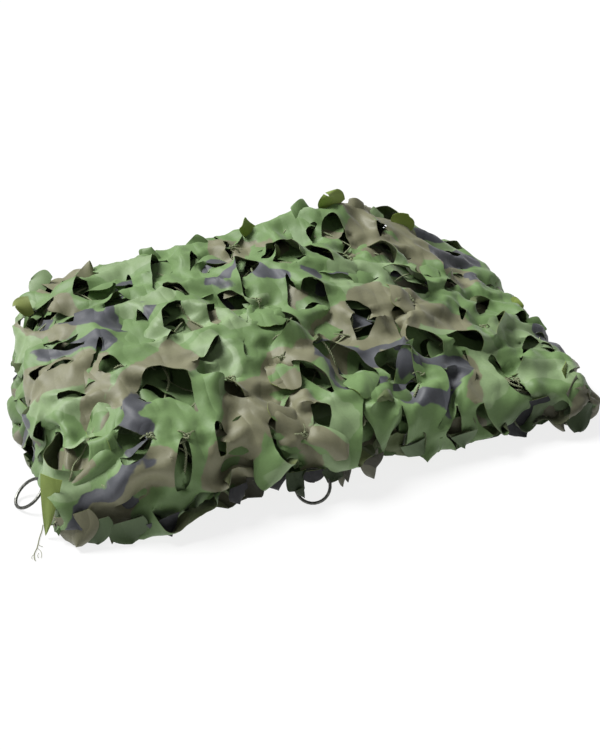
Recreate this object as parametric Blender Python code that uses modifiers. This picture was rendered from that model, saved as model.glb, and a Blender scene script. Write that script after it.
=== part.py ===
"""Camouflage net, folded back and forth into one flat heap, with two edge rings.

Blender 4.5, metres, +Z up.  X runs along the long side of the heap, the front is
towards -Y, and the heap lies on z = 0.
"""
import bpy
import bmesh
import math
import numpy as np
from mathutils import Matrix, Vector

# ---------------------------------------------------------------- driving sizes
NAME = "camouflage_net"
ORIGIN = (0.28894, 0.17598)      # middle of the footprint in the table's own x, y

LAYERS = 8                     # turns of the back and forth section
SHEET = 0.0040                 # thickness of the lowest layer and of the skin
INNER_FILL = 0.46              # part of the pitch that an inner layer fills
ACROSS = 16                    # points across each layer, hem to hem
PER_LAYER = 11                 # stations along an inner layer
PER_SKIN = 25                  # stations along the skin, the top layer
PER_LOOP = 4                   # stations round each fold
GROUND = 0.5 * SHEET           # middle of the lowest layer

RING_OUTER = 0.040             # outer diameter of the edge rings
RING_WIRE = 0.0035             # wire diameter

# Sections across the heap, left to right: x, then y and z of the front hem, the
# front shoulder, the crown, the back shoulder and the back hem.
SECTIONS = (
    # x      hem_y   hem_z  fs_y   fs_z   cr_y   cr_z   bs_y   bs_z   bk_y   bk_z
    (0.010, -0.010, 0.004, 0.034, 0.080, 0.170, 0.108, 0.325, 0.098, 0.372, 0.004),
    (0.060, -0.024, 0.004, 0.030, 0.098, 0.175, 0.126, 0.335, 0.116, 0.384, 0.004),
    (0.120, -0.034, 0.005, 0.030, 0.104, 0.180, 0.134, 0.340, 0.120, 0.388, 0.004),
    (0.190, -0.020, 0.018, 0.038, 0.100, 0.180, 0.138, 0.342, 0.127, 0.390, 0.004),
    (0.260, -0.017, 0.034, 0.044, 0.096, 0.185, 0.140, 0.345, 0.132, 0.392, 0.004),
    (0.330, -0.014, 0.034, 0.046, 0.094, 0.190, 0.142, 0.345, 0.142, 0.392, 0.004),
    (0.400, -0.006, 0.020, 0.050, 0.088, 0.190, 0.138, 0.345, 0.152, 0.390, 0.004),
    (0.460, -0.012, 0.012, 0.046, 0.078, 0.185, 0.124, 0.340, 0.148, 0.388, 0.004),
    (0.520,  0.000, 0.012, 0.040, 0.066, 0.180, 0.100, 0.335, 0.124, 0.384, 0.006),
    (0.570, -0.006, 0.030, 0.030, 0.060, 0.170, 0.078, 0.320, 0.092, 0.370, 0.026),
    (0.612, -0.004, 0.048, 0.022, 0.056, 0.160, 0.060, 0.300, 0.064, 0.335, 0.048),
)

# Main creases, as soft ridges (+) and troughs (-): middle x, y, run angle in
# degrees, half length, half width, height.
CREASES = (
    # x      y      ang    len    wide   high
    (0.410, 0.108,   6.0, 0.075, 0.015,  0.009),
    (0.365, 0.070,   4.0, 0.060, 0.014, -0.009),
    (0.147, 0.078,  20.0, 0.028, 0.020, -0.009),
    (0.065, 0.045, -30.0, 0.050, 0.020,  0.005),
    (0.512, 0.046, -20.0, 0.034, 0.013, -0.006),
    (0.292, 0.290,  40.0, 0.030, 0.020, -0.008),
    (0.405, 0.325,   0.0, 0.050, 0.022,  0.007),
    (0.269, 0.168, -10.0, 0.030, 0.018, -0.007),
    (0.365, 0.225,   8.0, 0.090, 0.018,  0.006),
    (0.205, 0.225, -12.0, 0.060, 0.020,  0.005),
    (0.505, 0.205,  75.0, 0.060, 0.018,  0.006),
    (0.531, 0.140,  60.0, 0.040, 0.014, -0.005),
    (0.115, 0.250,  25.0, 0.050, 0.018, -0.005),
)

# The largest gaps in the skin: middle x, y, run angle, length, width, bow.
GAPS = (
    # x      y       ang    long   wide   bow
    (0.147, 0.078,   8.0, 0.050, 0.034,  0.004),
    (0.200, 0.064, -12.0, 0.038, 0.018,  0.003),
    (0.341, 0.076,  15.0, 0.052, 0.036,  0.006),
    (0.402, 0.066, -12.0, 0.044, 0.030,  0.005),
    (0.440, 0.104,   5.0, 0.046, 0.018, -0.004),
    (0.508, 0.058, -25.0, 0.042, 0.014,  0.002),
    (0.345, 0.165,  10.0, 0.030, 0.016,  0.005),
    (0.410, 0.190,  -8.0, 0.046, 0.016,  0.005),
    (0.193, 0.272,  60.0, 0.036, 0.016,  0.003),
    (0.234, 0.172, -15.0, 0.048, 0.028,  0.004),
    (0.128, 0.182,  30.0, 0.030, 0.015,  0.002),
    (0.270, 0.236,  15.0, 0.036, 0.015, -0.003),
)
GAP_SIDES = 12
GAP_DEPTH = 0.0100

# Each layer from the ground up: how far its front and back edges stand back
# from the skin, and where it ends at the left and at the right.
TURNS = (
    # front  back   left   right
    (0.012, 0.012, 0.030, 0.596),
    (0.018, 0.014, 0.042, 0.596),
    (0.015, 0.018, 0.042, 0.606),
    (0.022, 0.020, 0.036, 0.606),
    (0.020, 0.024, 0.036, 0.590),
    (0.027, 0.028, 0.046, 0.590),
    (0.034, 0.034, 0.046, 0.602),
    (0.000, 0.000, 0.010, 0.602),
)

# The left end: how far it is drawn in, by y, and how the skin drops to the
# ground there (step to the left, share of the height kept).
LEFT_DRAW = ((-0.05, 0.000), (0.020, 0.000), (0.066, 0.012), (0.110, 0.004),
             (0.170, 0.002), (0.250, 0.012), (0.330, 0.030), (0.400, 0.040))
LEFT_DROP = ((0.005, 0.92), (0.011, 0.75), (0.016, 0.50), (0.019, 0.25), (0.020, 0.0))

# Edge rings: centre x, y, z and the direction that each ring's face looks in.
RINGS = (
    ("ring_front", (0.2638, -0.0311, 0.0172), (-0.290, -0.797, 0.530)),
    ("ring_left", (-0.0185, 0.0652, 0.0123), (-0.576, 0.001, 0.817)),
)

# The loose end of mesh cord, lying on the ground: its route's own points.
TAIL_ROUTE = ((-0.0135, 0.0220), (-0.0160, 0.0141), (-0.0210, 0.0020),
              (-0.0265, -0.0131), (-0.0311, -0.0225), (-0.0322, -0.0310))
TAIL_WIDE = 0.0012
TAIL_POINTS = 24


# ---------------------------------------------------------------- small helpers
def smooth(xs, ys, x):
    """Value at x of a smooth curve through a table's columns xs and ys."""
    xs = np.asarray(xs, float)
    ys = np.asarray(ys, float)
    x = np.clip(x, xs[0], xs[-1])
    i = np.clip(np.searchsorted(xs, x) - 1, 0, len(xs) - 2)
    h = xs[i + 1] - xs[i]
    t = (x - xs[i]) / h
    d = np.gradient(ys, xs)
    return ((2 * t**3 - 3 * t**2 + 1) * ys[i] + (t**3 - 2 * t**2 + t) * h * d[i]
            + (3 * t**2 - 2 * t**3) * ys[i + 1] + (t**3 - t**2) * h * d[i + 1])


TABLE = np.array(SECTIONS)


def section(x):
    return [float(smooth(TABLE[:, 0], TABLE[:, c], x)) for c in range(1, 11)]


def outline(x):
    """Control points (y, z) of the skin's section at x, hem to hem."""
    fy, fz, sy, sz, cy, cz, by, bz, ky, kz = section(x)
    return np.array((
        (fy, fz),
        (fy + 0.10 * (sy - fy) - 0.004, fz + 0.55 * (sz - fz)),
        (fy + 0.42 * (sy - fy), fz + 0.88 * (sz - fz)),
        (sy, sz),
        (0.5 * (sy + cy), 0.5 * (sz + cz) + 0.004),
        (cy, cz),
        (0.5 * (cy + by), 0.5 * (cz + bz) + 0.003),
        (by, bz),
        (ky - 0.45 * (ky - by), kz + 0.86 * (bz - kz)),
        (ky - 0.08 * (ky - by) + 0.003, kz + 0.50 * (bz - kz)),
        (ky, kz)))


def skin_curve(x, fine=160):
    pts = outline(x)
    chord = np.r_[0, np.cumsum(np.hypot(*np.diff(pts, axis=0).T))]
    t = np.linspace(0, chord[-1], fine)
    return np.stack([smooth(chord, pts[:, 0], t), smooth(chord, pts[:, 1], t)], 1)


def skin_points(x, n):
    """n points across the skin at x, at equal steps of cloth."""
    curve = skin_curve(x)
    run = np.r_[0, np.cumsum(np.hypot(*np.diff(curve, axis=0).T))]
    s = np.linspace(0, run[-1], n)
    return np.stack([np.interp(s, run, curve[:, 0]), np.interp(s, run, curve[:, 1])], 1)


def crease(x, y):
    """Height that the main creases add at x, y."""
    dz = 0.0
    for mx, my, ang, half_long, half_wide, high in CREASES:
        a = math.radians(ang)
        p = (x - mx) * math.cos(a) + (y - my) * math.sin(a)
        q = -(x - mx) * math.sin(a) + (y - my) * math.cos(a)
        dz += high * math.exp(-(p / half_long) ** 2 - (q / half_wide) ** 2)
    return dz


def top_height(x, y):
    """Height of the skin over x, y, between its shoulders."""
    pts = outline(x)[3:8]
    y = min(max(y, pts[0, 0]), pts[-1, 0])
    return float(smooth(pts[:, 0], pts[:, 1], y)) + crease(x, y)


def edge_y(x, share, front):
    """y of the skin's front or back face at a share of its shoulder's height."""
    pts = outline(x)
    rows = pts[0:4] if front else pts[10:6:-1]
    low, high = rows[0, 1], rows[-1, 1]
    z = low + share * (high - low)
    return float(np.interp(z, rows[:, 1], rows[:, 0]))


def drawn(x, y):
    """How far the left end is drawn in at this point."""
    rows = np.array(LEFT_DRAW)
    return float(smooth(rows[:, 0], rows[:, 1], y)) * max(0.0, 1.0 - max(x, 0.0) / 0.20) ** 1.5


# ---------------------------------------------------------------- the folded net
def layer_station(k, x):
    """Points and thickness across layer k at x."""
    top = LAYERS - 1
    if k == top:
        pts = [(x, y, z + crease(x, y)) for y, z in skin_points(x, ACROSS)]
        return pts, [SHEET] * ACROSS
    share = k / top
    front, back = TURNS[k][0], TURNS[k][1]
    y0 = edge_y(x, share, True) + front
    y1 = edge_y(x, share, False) - back
    pts, thick = [], []
    for i in range(ACROSS):
        y = y0 + (y1 - y0) * i / (ACROSS - 1)
        pitch = (top_height(x, y) - GROUND) / top
        pts.append((x, y, GROUND + pitch * k))
        thick.append(SHEET if k == 0 else max(INNER_FILL * pitch, 0.8 * SHEET))
    return pts, thick


def stations():
    """All stations of the one long section, from the ground layer's free end,
    back and forth, over the skin and down to the ground at the left."""
    rows = []
    for k in range(LAYERS):
        count = PER_SKIN if k == LAYERS - 1 else PER_LAYER
        left, right = TURNS[k][2], TURNS[k][3]
        xs = np.linspace(left, right, count)
        if k % 2:
            xs = xs[::-1]
        for x in xs:
            rows.append(layer_station(k, float(x)))
        if k == LAYERS - 1:
            break
        # the fold up to the next layer, a half round over the gap between them
        turn_x = float(xs[-1])
        side = 1.0 if k % 2 == 0 else -1.0
        (a, ta), (b, tb) = layer_station(k, turn_x), layer_station(k + 1, turn_x)
        for s in range(1, PER_LOOP + 1):
            th = math.pi * s / (PER_LOOP + 1)
            mix = 0.5 * (1 - math.cos(th))
            pts, thick = [], []
            for i in range(ACROSS):
                gap = b[i][2] - a[i][2]
                pts.append((turn_x + side * 0.55 * gap * math.sin(th),
                            a[i][1] + (b[i][1] - a[i][1]) * mix,
                            a[i][2] + gap * mix))
                thick.append(ta[i] + (tb[i] - ta[i]) * mix)
            rows.append((pts, thick))
    # the skin's drop to the ground at the left
    last, _ = rows[-1]
    mid_y = sum(p[1] for p in last) / len(last)
    for step, keep in LEFT_DROP:
        low = GROUND + 0.0015
        pts = [(p[0] - step, mid_y + (p[1] - mid_y) * (1 - 0.03 * (1 - keep)),
                low + (p[2] - low) * keep) for p in last]
        rows.append((pts, [SHEET] * ACROSS))
    return rows


def material(name, rgb, rough, metal):
    m = bpy.data.materials.new(name)
    m.use_nodes = True
    b = m.node_tree.nodes["Principled BSDF"]
    b.inputs["Base Color"].default_value = (*rgb, 1.0)
    b.inputs["Roughness"].default_value = rough
    b.inputs["Metallic"].default_value = metal
    return m


def new_object(name, bm, collection):
    mesh = bpy.data.meshes.new(name)
    bm.to_mesh(mesh)
    bm.free()
    obj = bpy.data.objects.new(name, mesh)
    collection.objects.link(obj)
    return obj


def build_net(parts, cutters):
    rows = stations()
    thickest = max(max(t) for _, t in rows)
    bm = bmesh.new()
    bmesh.ops.create_grid(bm, x_segments=len(rows) - 1, y_segments=ACROSS - 1, size=0.5)
    bm.verts.ensure_lookup_table()
    order = sorted(bm.verts, key=lambda v: (round(v.co.x, 5), round(v.co.y, 5)))
    weights = {}
    for n, v in enumerate(order):
        r, c = divmod(n, ACROSS)
        x, y, z = rows[r][0][c]
        weights[v.index] = rows[r][1][c] / thickest
        v.co = (x + drawn(x, y) - ORIGIN[0], y - ORIGIN[1], z)
    net = new_object("net", bm, parts)
    group = net.vertex_groups.new(name="thickness")
    for index, w in weights.items():
        group.add([index], w, "REPLACE")
    solid = net.modifiers.new("thickness", "SOLIDIFY")
    solid.thickness = thickest
    solid.offset = 0.0
    solid.vertex_group = "thickness"
    solid.use_even_offset = False
    for n, (x, y, ang, long, wide, bow) in enumerate(GAPS):
        cut = build_gap(n, x, y, ang, long, wide, bow, cutters)
        mod = net.modifiers.new(cut.name, "BOOLEAN")
        mod.operation = "DIFFERENCE"
        mod.solver = "EXACT"
        mod.object = cut
    net.data.materials.append(material("net_cloth", (0.16, 0.30, 0.12), 0.55, 0.0))
    return net


def build_gap(n, x, y, ang, long, wide, bow, cutters):
    """Cutter for one leaf-shaped gap: a bowed lens through the skin alone."""
    bm = bmesh.new()
    bmesh.ops.create_cone(bm, cap_ends=True, segments=GAP_SIDES, radius1=1.0, radius2=1.0,
                          depth=GAP_DEPTH)
    for v in bm.verts:
        px, py = v.co.x, v.co.y
        v.co.x = 0.5 * long * px
        v.co.y = 0.5 * wide * py * (1 - 0.25 * px * px) + bow * (1 - px * px)
    cut = new_object("gap_%02d" % (n + 1), bm, cutters)
    e = 0.004
    here = top_height(x, y)
    slope_x = (top_height(x + e, y) - top_height(x - e, y)) / (2 * e)
    slope_y = (top_height(x, y + e) - top_height(x, y - e)) / (2 * e)
    normal = Vector((-slope_x, -slope_y, 1.0)).normalized()
    a = math.radians(ang)
    along = Vector((math.cos(a), math.sin(a), 0.0))
    along = (along - normal * along.dot(normal)).normalized()
    side = normal.cross(along)
    frame = Matrix((along, side, normal)).transposed().to_4x4()
    cut.matrix_world = Matrix.Translation((x + drawn(x, y) - ORIGIN[0], y - ORIGIN[1], here)) @ frame
    cut.hide_render = True
    cut.display_type = "WIRE"
    return cut


# ---------------------------------------------------------------- rings and tail
def build_ring(name, centre, face, collection, steel):
    bpy.ops.mesh.primitive_torus_add(major_segments=28, minor_segments=8,
                                     major_radius=0.5 * (RING_OUTER - RING_WIRE),
                                     minor_radius=0.5 * RING_WIRE)
    ring = bpy.context.object
    ring.name = name
    ring.data.name = name
    for c in list(ring.users_collection):
        c.objects.unlink(ring)
    collection.objects.link(ring)
    normal = Vector(face).normalized()
    turn = Vector((0, 0, 1)).rotation_difference(normal)
    # the wire's lowest point touches the ground
    low = 0.5 * (RING_OUTER - RING_WIRE) * math.sqrt(max(0.0, 1 - normal.z ** 2)) + 0.5 * RING_WIRE
    ring.rotation_mode = "QUATERNION"
    ring.rotation_quaternion = turn
    ring.location = (centre[0] - ORIGIN[0], centre[1] - ORIGIN[1], low)
    ring.data.materials.append(steel)
    return ring


def build_tail(collection, cord_material):
    route = np.array(TAIL_ROUTE)
    run = np.r_[0, np.cumsum(np.hypot(*np.diff(route, axis=0).T))]
    t = np.linspace(0, run[-1], TAIL_POINTS)
    xs, ys = smooth(run, route[:, 0], t), smooth(run, route[:, 1], t)
    curve = bpy.data.curves.new("thread_tail", "CURVE")
    curve.dimensions = "3D"
    curve.bevel_depth = 0.5 * TAIL_WIDE
    curve.bevel_resolution = 2
    curve.use_fill_caps = True
    spline = curve.splines.new("POLY")
    spline.points.add(TAIL_POINTS - 1)
    for p, x, y in zip(spline.points, xs, ys):
        p.co = (x - ORIGIN[0], y - ORIGIN[1], 0.5 * TAIL_WIDE + 0.00005, 1.0)
    tail = bpy.data.objects.new("thread_tail", curve)
    collection.objects.link(tail)
    curve.materials.append(cord_material)
    return tail


def main():
    for obj in list(bpy.data.objects):
        bpy.data.objects.remove(obj, do_unlink=True)
    parts = bpy.data.collections.new(NAME)
    cutters = bpy.data.collections.new("cutters")
    bpy.context.scene.collection.children.link(parts)
    bpy.context.scene.collection.children.link(cutters)
    build_net(parts, cutters)
    steel = material("ring_steel", (0.10, 0.10, 0.10), 0.42, 1.0)
    for name, centre, face in RINGS:
        build_ring(name, centre, face, parts, steel)
    build_tail(parts, material("mesh_cord", (0.40, 0.38, 0.24), 0.85, 0.0))


main()
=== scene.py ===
"""Looks of the camouflage net: a leaf-cut cloth, gathered on a cord mesh and folded into a heap."""
import math
import time

import bmesh
import bpy
import numpy as np
from mathutils import Matrix, Vector, geometry


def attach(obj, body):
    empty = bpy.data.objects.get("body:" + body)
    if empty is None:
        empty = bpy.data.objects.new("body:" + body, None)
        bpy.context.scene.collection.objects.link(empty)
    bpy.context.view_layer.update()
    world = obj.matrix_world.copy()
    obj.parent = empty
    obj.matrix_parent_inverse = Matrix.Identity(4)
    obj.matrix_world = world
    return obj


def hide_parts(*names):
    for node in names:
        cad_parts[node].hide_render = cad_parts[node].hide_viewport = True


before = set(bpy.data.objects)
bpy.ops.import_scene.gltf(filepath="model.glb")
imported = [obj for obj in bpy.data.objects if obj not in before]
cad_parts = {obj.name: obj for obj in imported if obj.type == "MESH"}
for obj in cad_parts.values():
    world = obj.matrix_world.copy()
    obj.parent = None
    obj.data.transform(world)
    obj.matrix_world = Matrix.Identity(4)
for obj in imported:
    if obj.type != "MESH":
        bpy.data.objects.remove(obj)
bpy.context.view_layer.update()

T0 = time.time()


def tick(words):
    print("TIME %6.1f  %s" % (time.time() - T0, words))


# ------------------------------------------------------------------ the camera first
ORIGIN = np.array((0.28894, 0.17598, 0.0))
ELEVATION, TURN = 32.0, -20.0

cam_data = bpy.data.cameras.new("camera")
cam_data.sensor_width = 36.0
cam_data.lens = 67.2
cam_data.clip_end = 50.0
camera = bpy.data.objects.new("camera", cam_data)
bpy.context.scene.collection.objects.link(camera)
camera.location = Vector((-0.155203, -1.142750, 0.897272)) - Vector(ORIGIN)
camera.rotation_euler = (math.radians(90 - ELEVATION), 0.0, math.radians(TURN))
bpy.context.scene.camera = camera



def smooth(xs, ys, x):
    """Value at x of a smooth curve through a table's columns xs and ys."""
    xs, ys = np.asarray(xs, float), np.asarray(ys, float)
    x = np.clip(x, xs[0], xs[-1])
    i = np.clip(np.searchsorted(xs, x) - 1, 0, len(xs) - 2)
    h = xs[i + 1] - xs[i]
    t = (x - xs[i]) / h
    d = np.gradient(ys, xs)
    return ((2 * t**3 - 3 * t**2 + 1) * ys[i] + (t**3 - 2 * t**2 + t) * h * d[i]
            + (3 * t**2 - 2 * t**3) * ys[i + 1] + (t**3 - t**2) * h * d[i + 1])


# ------------------------------------------------------------------ the pulled thread
# It leaves the net's front left corner and lies on the floor.
TAIL_ROUTE = ((-0.0135, 0.0220), (-0.0160, 0.0141), (-0.0210, 0.0020),
              (-0.0265, -0.0131), (-0.0311, -0.0225), (-0.0322, -0.0310))
TAIL_WIDE = 0.0012
# its loose fibres: where each one starts and ends, and how far it strays
TAIL_ENDS = (((-0.0311, -0.0225), (-0.0345, -0.0286), 0.0010),
             ((-0.0322, -0.0300), (-0.0313, -0.0331), 0.0006),
             ((-0.0265, -0.0131), (-0.0257, -0.0301), -0.0022),
             ((-0.0261, -0.0217), (-0.0283, -0.0290), 0.0008),
             ((-0.0240, -0.0080), (-0.0205, -0.0130), 0.0010))


def route_points(route, n, z):
    route = np.array(route)
    run = np.r_[0, np.cumsum(np.hypot(*np.diff(route, axis=0).T))]
    t = np.linspace(0, run[-1], n)
    xs, ys = smooth(run, route[:, 0], t), smooth(run, route[:, 1], t)
    return np.stack([xs - ORIGIN[0], ys - ORIGIN[1], np.full(n, z)], 1)


def line_object(name, lines, radius, resolution=2):
    curve = bpy.data.curves.new(name, "CURVE")
    curve.dimensions = "3D"
    curve.bevel_depth = radius
    curve.bevel_resolution = resolution
    curve.use_fill_caps = True
    for pts in lines:
        spline = curve.splines.new("POLY")
        spline.points.add(len(pts) - 1)
        for q, c in zip(spline.points, pts):
            q.co = (float(c[0]), float(c[1]), float(c[2]), 1.0)
    obj = bpy.data.objects.new(name, curve)
    bpy.context.scene.collection.objects.link(obj)
    return obj


tail_line = route_points(TAIL_ROUTE, 64, 0.5 * TAIL_WIDE + 0.00005)
thread = line_object("thread", [tail_line], 0.5 * TAIL_WIDE)
fibres = []
for a, b, stray in TAIL_ENDS:
    a, b = np.array(a), np.array(b)
    side = np.array((b[1] - a[1], a[0] - b[0])) / np.linalg.norm(b - a)
    t = np.linspace(0, 1, 14)[:, None]
    way = a + (b - a) * t + side * stray * np.sin(math.pi * t)
    fibres.append(np.c_[way - ORIGIN[:2], 0.0005 + 0.0006 * np.sin(math.pi * t[:, 0])])
thread_ends = line_object("thread_ends", fibres, 0.0003, 1)

# ------------------------------------------------------------------ the heap's surface
SECTIONS = np.array((
    # x      hem_y   hem_z  fs_y   fs_z   cr_y   cr_z   bs_y   bs_z   bk_y   bk_z
    (0.010, -0.010, 0.004, 0.034, 0.080, 0.170, 0.108, 0.325, 0.098, 0.372, 0.004),
    (0.060, -0.024, 0.004, 0.030, 0.098, 0.175, 0.126, 0.335, 0.116, 0.384, 0.004),
    (0.120, -0.034, 0.005, 0.030, 0.104, 0.180, 0.134, 0.340, 0.120, 0.388, 0.004),
    (0.190, -0.020, 0.018, 0.038, 0.100, 0.180, 0.138, 0.342, 0.127, 0.390, 0.004),
    (0.260, -0.017, 0.034, 0.044, 0.096, 0.185, 0.140, 0.345, 0.132, 0.392, 0.004),
    (0.330, -0.014, 0.034, 0.046, 0.094, 0.190, 0.142, 0.345, 0.142, 0.392, 0.004),
    (0.400, -0.006, 0.020, 0.050, 0.088, 0.190, 0.138, 0.345, 0.152, 0.390, 0.004),
    (0.460, -0.012, 0.012, 0.046, 0.078, 0.185, 0.124, 0.340, 0.148, 0.388, 0.004),
    (0.520,  0.000, 0.012, 0.040, 0.066, 0.180, 0.100, 0.335, 0.124, 0.384, 0.006),
    (0.570, -0.006, 0.030, 0.030, 0.060, 0.170, 0.078, 0.320, 0.092, 0.370, 0.026),
    (0.612, -0.004, 0.048, 0.022, 0.056, 0.160, 0.060, 0.300, 0.064, 0.335, 0.048)))
CREASES = (
    (0.410, 0.108,   6.0, 0.075, 0.015,  0.009),
    (0.365, 0.070,   4.0, 0.060, 0.014, -0.009),
    (0.147, 0.078,  20.0, 0.028, 0.020, -0.009),
    (0.065, 0.045, -30.0, 0.050, 0.020,  0.005),
    (0.512, 0.046, -20.0, 0.034, 0.013, -0.006),
    (0.292, 0.290,  40.0, 0.030, 0.020, -0.008),
    (0.405, 0.325,   0.0, 0.050, 0.022,  0.007),
    (0.269, 0.168, -10.0, 0.030, 0.018, -0.007),
    (0.365, 0.225,   8.0, 0.090, 0.018,  0.006),
    (0.205, 0.225, -12.0, 0.060, 0.020,  0.005),
    (0.505, 0.205,  75.0, 0.060, 0.018,  0.006),
    (0.531, 0.140,  60.0, 0.040, 0.014, -0.005),
    (0.115, 0.250,  25.0, 0.050, 0.018, -0.005))
LEFT_DRAW = np.array(((-0.05, 0.000), (0.020, 0.000), (0.066, 0.012), (0.110, 0.004),
                      (0.170, 0.002), (0.250, 0.012), (0.330, 0.030), (0.400, 0.040)))
LEFT_X, RIGHT_X = 0.010, 0.600


def outline(x):
    fy, fz, sy, sz, cy, cz, by, bz, ky, kz = [float(smooth(SECTIONS[:, 0], SECTIONS[:, c], x))
                                              for c in range(1, 11)]
    return np.array((
        (fy, fz),
        (fy + 0.10 * (sy - fy) - 0.004, fz + 0.55 * (sz - fz)),
        (fy + 0.42 * (sy - fy), fz + 0.88 * (sz - fz)),
        (sy, sz),
        (0.5 * (sy + cy), 0.5 * (sz + cz) + 0.004),
        (cy, cz),
        (0.5 * (cy + by), 0.5 * (cz + bz) + 0.003),
        (by, bz),
        (ky - 0.45 * (ky - by), kz + 0.86 * (bz - kz)),
        (ky - 0.08 * (ky - by) + 0.003, kz + 0.50 * (bz - kz)),
        (ky, kz)))


def crease(x, y):
    dz = np.zeros(np.broadcast(x, y).shape)
    for mx, my, ang, half_long, half_wide, high in CREASES:
        a = math.radians(ang)
        p = (x - mx) * math.cos(a) + (y - my) * math.sin(a)
        q = -(x - mx) * math.sin(a) + (y - my) * math.cos(a)
        dz = dz + high * np.exp(-(p / half_long) ** 2 - (q / half_wide) ** 2)
    return dz


# The surface as a lookup grid over p, the way along the heap, and s, the way
# across it from its crown line, both measured on the surface.
DP, DS = 0.004, 0.004
P_LOW, P_HIGH = -0.150, 0.700
S_LOW, S_HIGH = -0.330, 0.360
CROWN_Y = 0.180


def make_surface():
    ps = np.arange(P_LOW, P_HIGH + DP / 2, DP)
    ss = np.arange(S_LOW, S_HIGH + DS / 2, DS)
    grid = np.zeros((len(ps), len(ss), 3))
    hems = np.zeros((len(ps), 2))

    def row(x):
        pts = outline(x)
        chord = np.r_[0, np.cumsum(np.hypot(*np.diff(pts, axis=0).T))]
        t = np.linspace(0, chord[-1], 240)
        y, z = smooth(chord, pts[:, 0], t), smooth(chord, pts[:, 1], t)
        z = z + crease(x, y)
        run = np.r_[0, np.cumsum(np.hypot(np.diff(y), np.diff(z)))]
        mid = np.interp(CROWN_Y, y[20:-20], run[20:-20])
        s = run - mid
        oy, oz = np.interp(ss, s, y), np.interp(ss, s, z)
        # beyond the hems the surface turns under and runs back below the heap
        for past, end, inward in ((s[0] - ss, 0, 1.0), (ss - s[-1], -1, -1.0)):
            m = past > 0
            r = min(0.5 * max(z[end] - 0.0016, 0.0006), 0.007)
            th = np.clip(past[m] / r, 0, math.pi)
            rest = np.maximum(past[m] - math.pi * r, 0)
            oy[m] = y[end] - inward * r * np.sin(th) * 0.8 + inward * rest
            oz[m] = z[end] - r * (1 - np.cos(th))
        return oy, oz, s[0], s[-1]

    left_y, left_z, l0, l1 = row(LEFT_X)
    right_y, right_z, r0, r1 = row(RIGHT_X)
    for i, p in enumerate(ps):
        if p < LEFT_X:
            d = LEFT_X - p
            high = np.maximum(left_z - 0.002, 0.004)
            share = d / high
            x = LEFT_X - 0.020 * np.sin(np.clip(share, 0, 1) * math.pi / 2)
            x = x + np.maximum(share - 1, 0) * high
            y = left_y
            z = np.maximum(left_z - high * np.clip(share, 0, 1), 0.0016)
            hems[i] = l0, l1
        elif p > RIGHT_X:
            d = p - RIGHT_X
            low = np.minimum(0.010, right_z - 0.004)
            r = 0.5 * (right_z - low)
            th = np.clip(d / np.maximum(r, 0.004), 0, math.pi)
            past = np.maximum(d - math.pi * np.maximum(r, 0.004), 0)
            x = RIGHT_X + 0.85 * r * np.sin(th) - past
            y = right_y
            z = low + r * (1 + np.cos(th))
            hems[i] = r0, r1
        else:
            y, z, a, b = row(p)
            x = np.full(len(ss), p)
            hems[i] = a, b
        draw = smooth(LEFT_DRAW[:, 0], LEFT_DRAW[:, 1], y) * np.maximum(0, 1 - np.maximum(x, 0) / 0.20) ** 1.5
        grid[i, :, 0], grid[i, :, 1], grid[i, :, 2] = x + draw, y, z
    grid -= ORIGIN
    tp = np.gradient(grid, DP, axis=0)
    ts = np.gradient(grid, DS, axis=1)
    n = np.cross(tp, ts)
    n /= np.maximum(np.linalg.norm(n, axis=2, keepdims=True), 1e-9)
    return ps, ss, grid, hems, tp, ts, n


PS, SS, GRID, HEMS, TP, TS, NORMAL = make_surface()
tick("surface")


def bilinear(field, p, s):
    i = np.clip((p - PS[0]) / DP, 0, len(PS) - 1.001)
    j = np.clip((s - SS[0]) / DS, 0, len(SS) - 1.001)
    i0, j0 = i.astype(int), j.astype(int)
    a, b = (i - i0)[:, None], (j - j0)[:, None]
    return ((1 - a) * (1 - b) * field[i0, j0] + a * (1 - b) * field[i0 + 1, j0]
            + (1 - a) * b * field[i0, j0 + 1] + a * b * field[i0 + 1, j0 + 1])


def hem(p, which):
    return np.interp(p, PS, HEMS[:, which])


# ------------------------------------------------------------------ flat cloth with leaf cuts
# Cut shapes in millimetres of flat cloth, each as one or two lines of knife.
# Along the first line a crescent is open, on the line's right-hand side.
CUTS = {
    "hump": (((-27, -14), (-27, -2), (-20, 8), (-7, 14), (8, 13), (20, 6), (26, -6)),
             ((26, -6), (27, -16), (27, -26))),
    "wave": (((-36, -6), (-33, 6), (-24, 14), (-13, 13), (-4, 3), (4, -7), (15, -13), (27, -10), (34, 0), (36, 10)),),
    "seven": (((-24, 6), (-14, -1), (-1, 0), (10, -6), (22, -7), (32, 1), (35, 13)),
              ((-5, 26), (-3, 12), (-1, 0))),
    "drop": (((-25, -8), (-19, 7), (-5, 13), (9, 10), (18, 0), (27, -10)),),
}


def noise2(a, b, size, seed, rough=2):
    """Smooth noise over a plane, from a few fixed waves: about -1 to 1."""
    rng = np.random.default_rng(seed)
    out = np.zeros(np.shape(a))
    total = 0.0
    for o in range(rough):
        k = 2 * math.pi / (size / 1.9**o)
        for _ in range(7):
            ang = rng.uniform(0, 2 * math.pi)
            kk = k * rng.uniform(0.6, 1.3)
            out += 0.6**o * np.cos(kk * (a * math.cos(ang) + b * math.sin(ang)) + rng.uniform(0, 2 * math.pi))
        total += 0.6 ** (2 * o) * 7 * 0.5
    return out / math.sqrt(total) * 0.6


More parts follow.
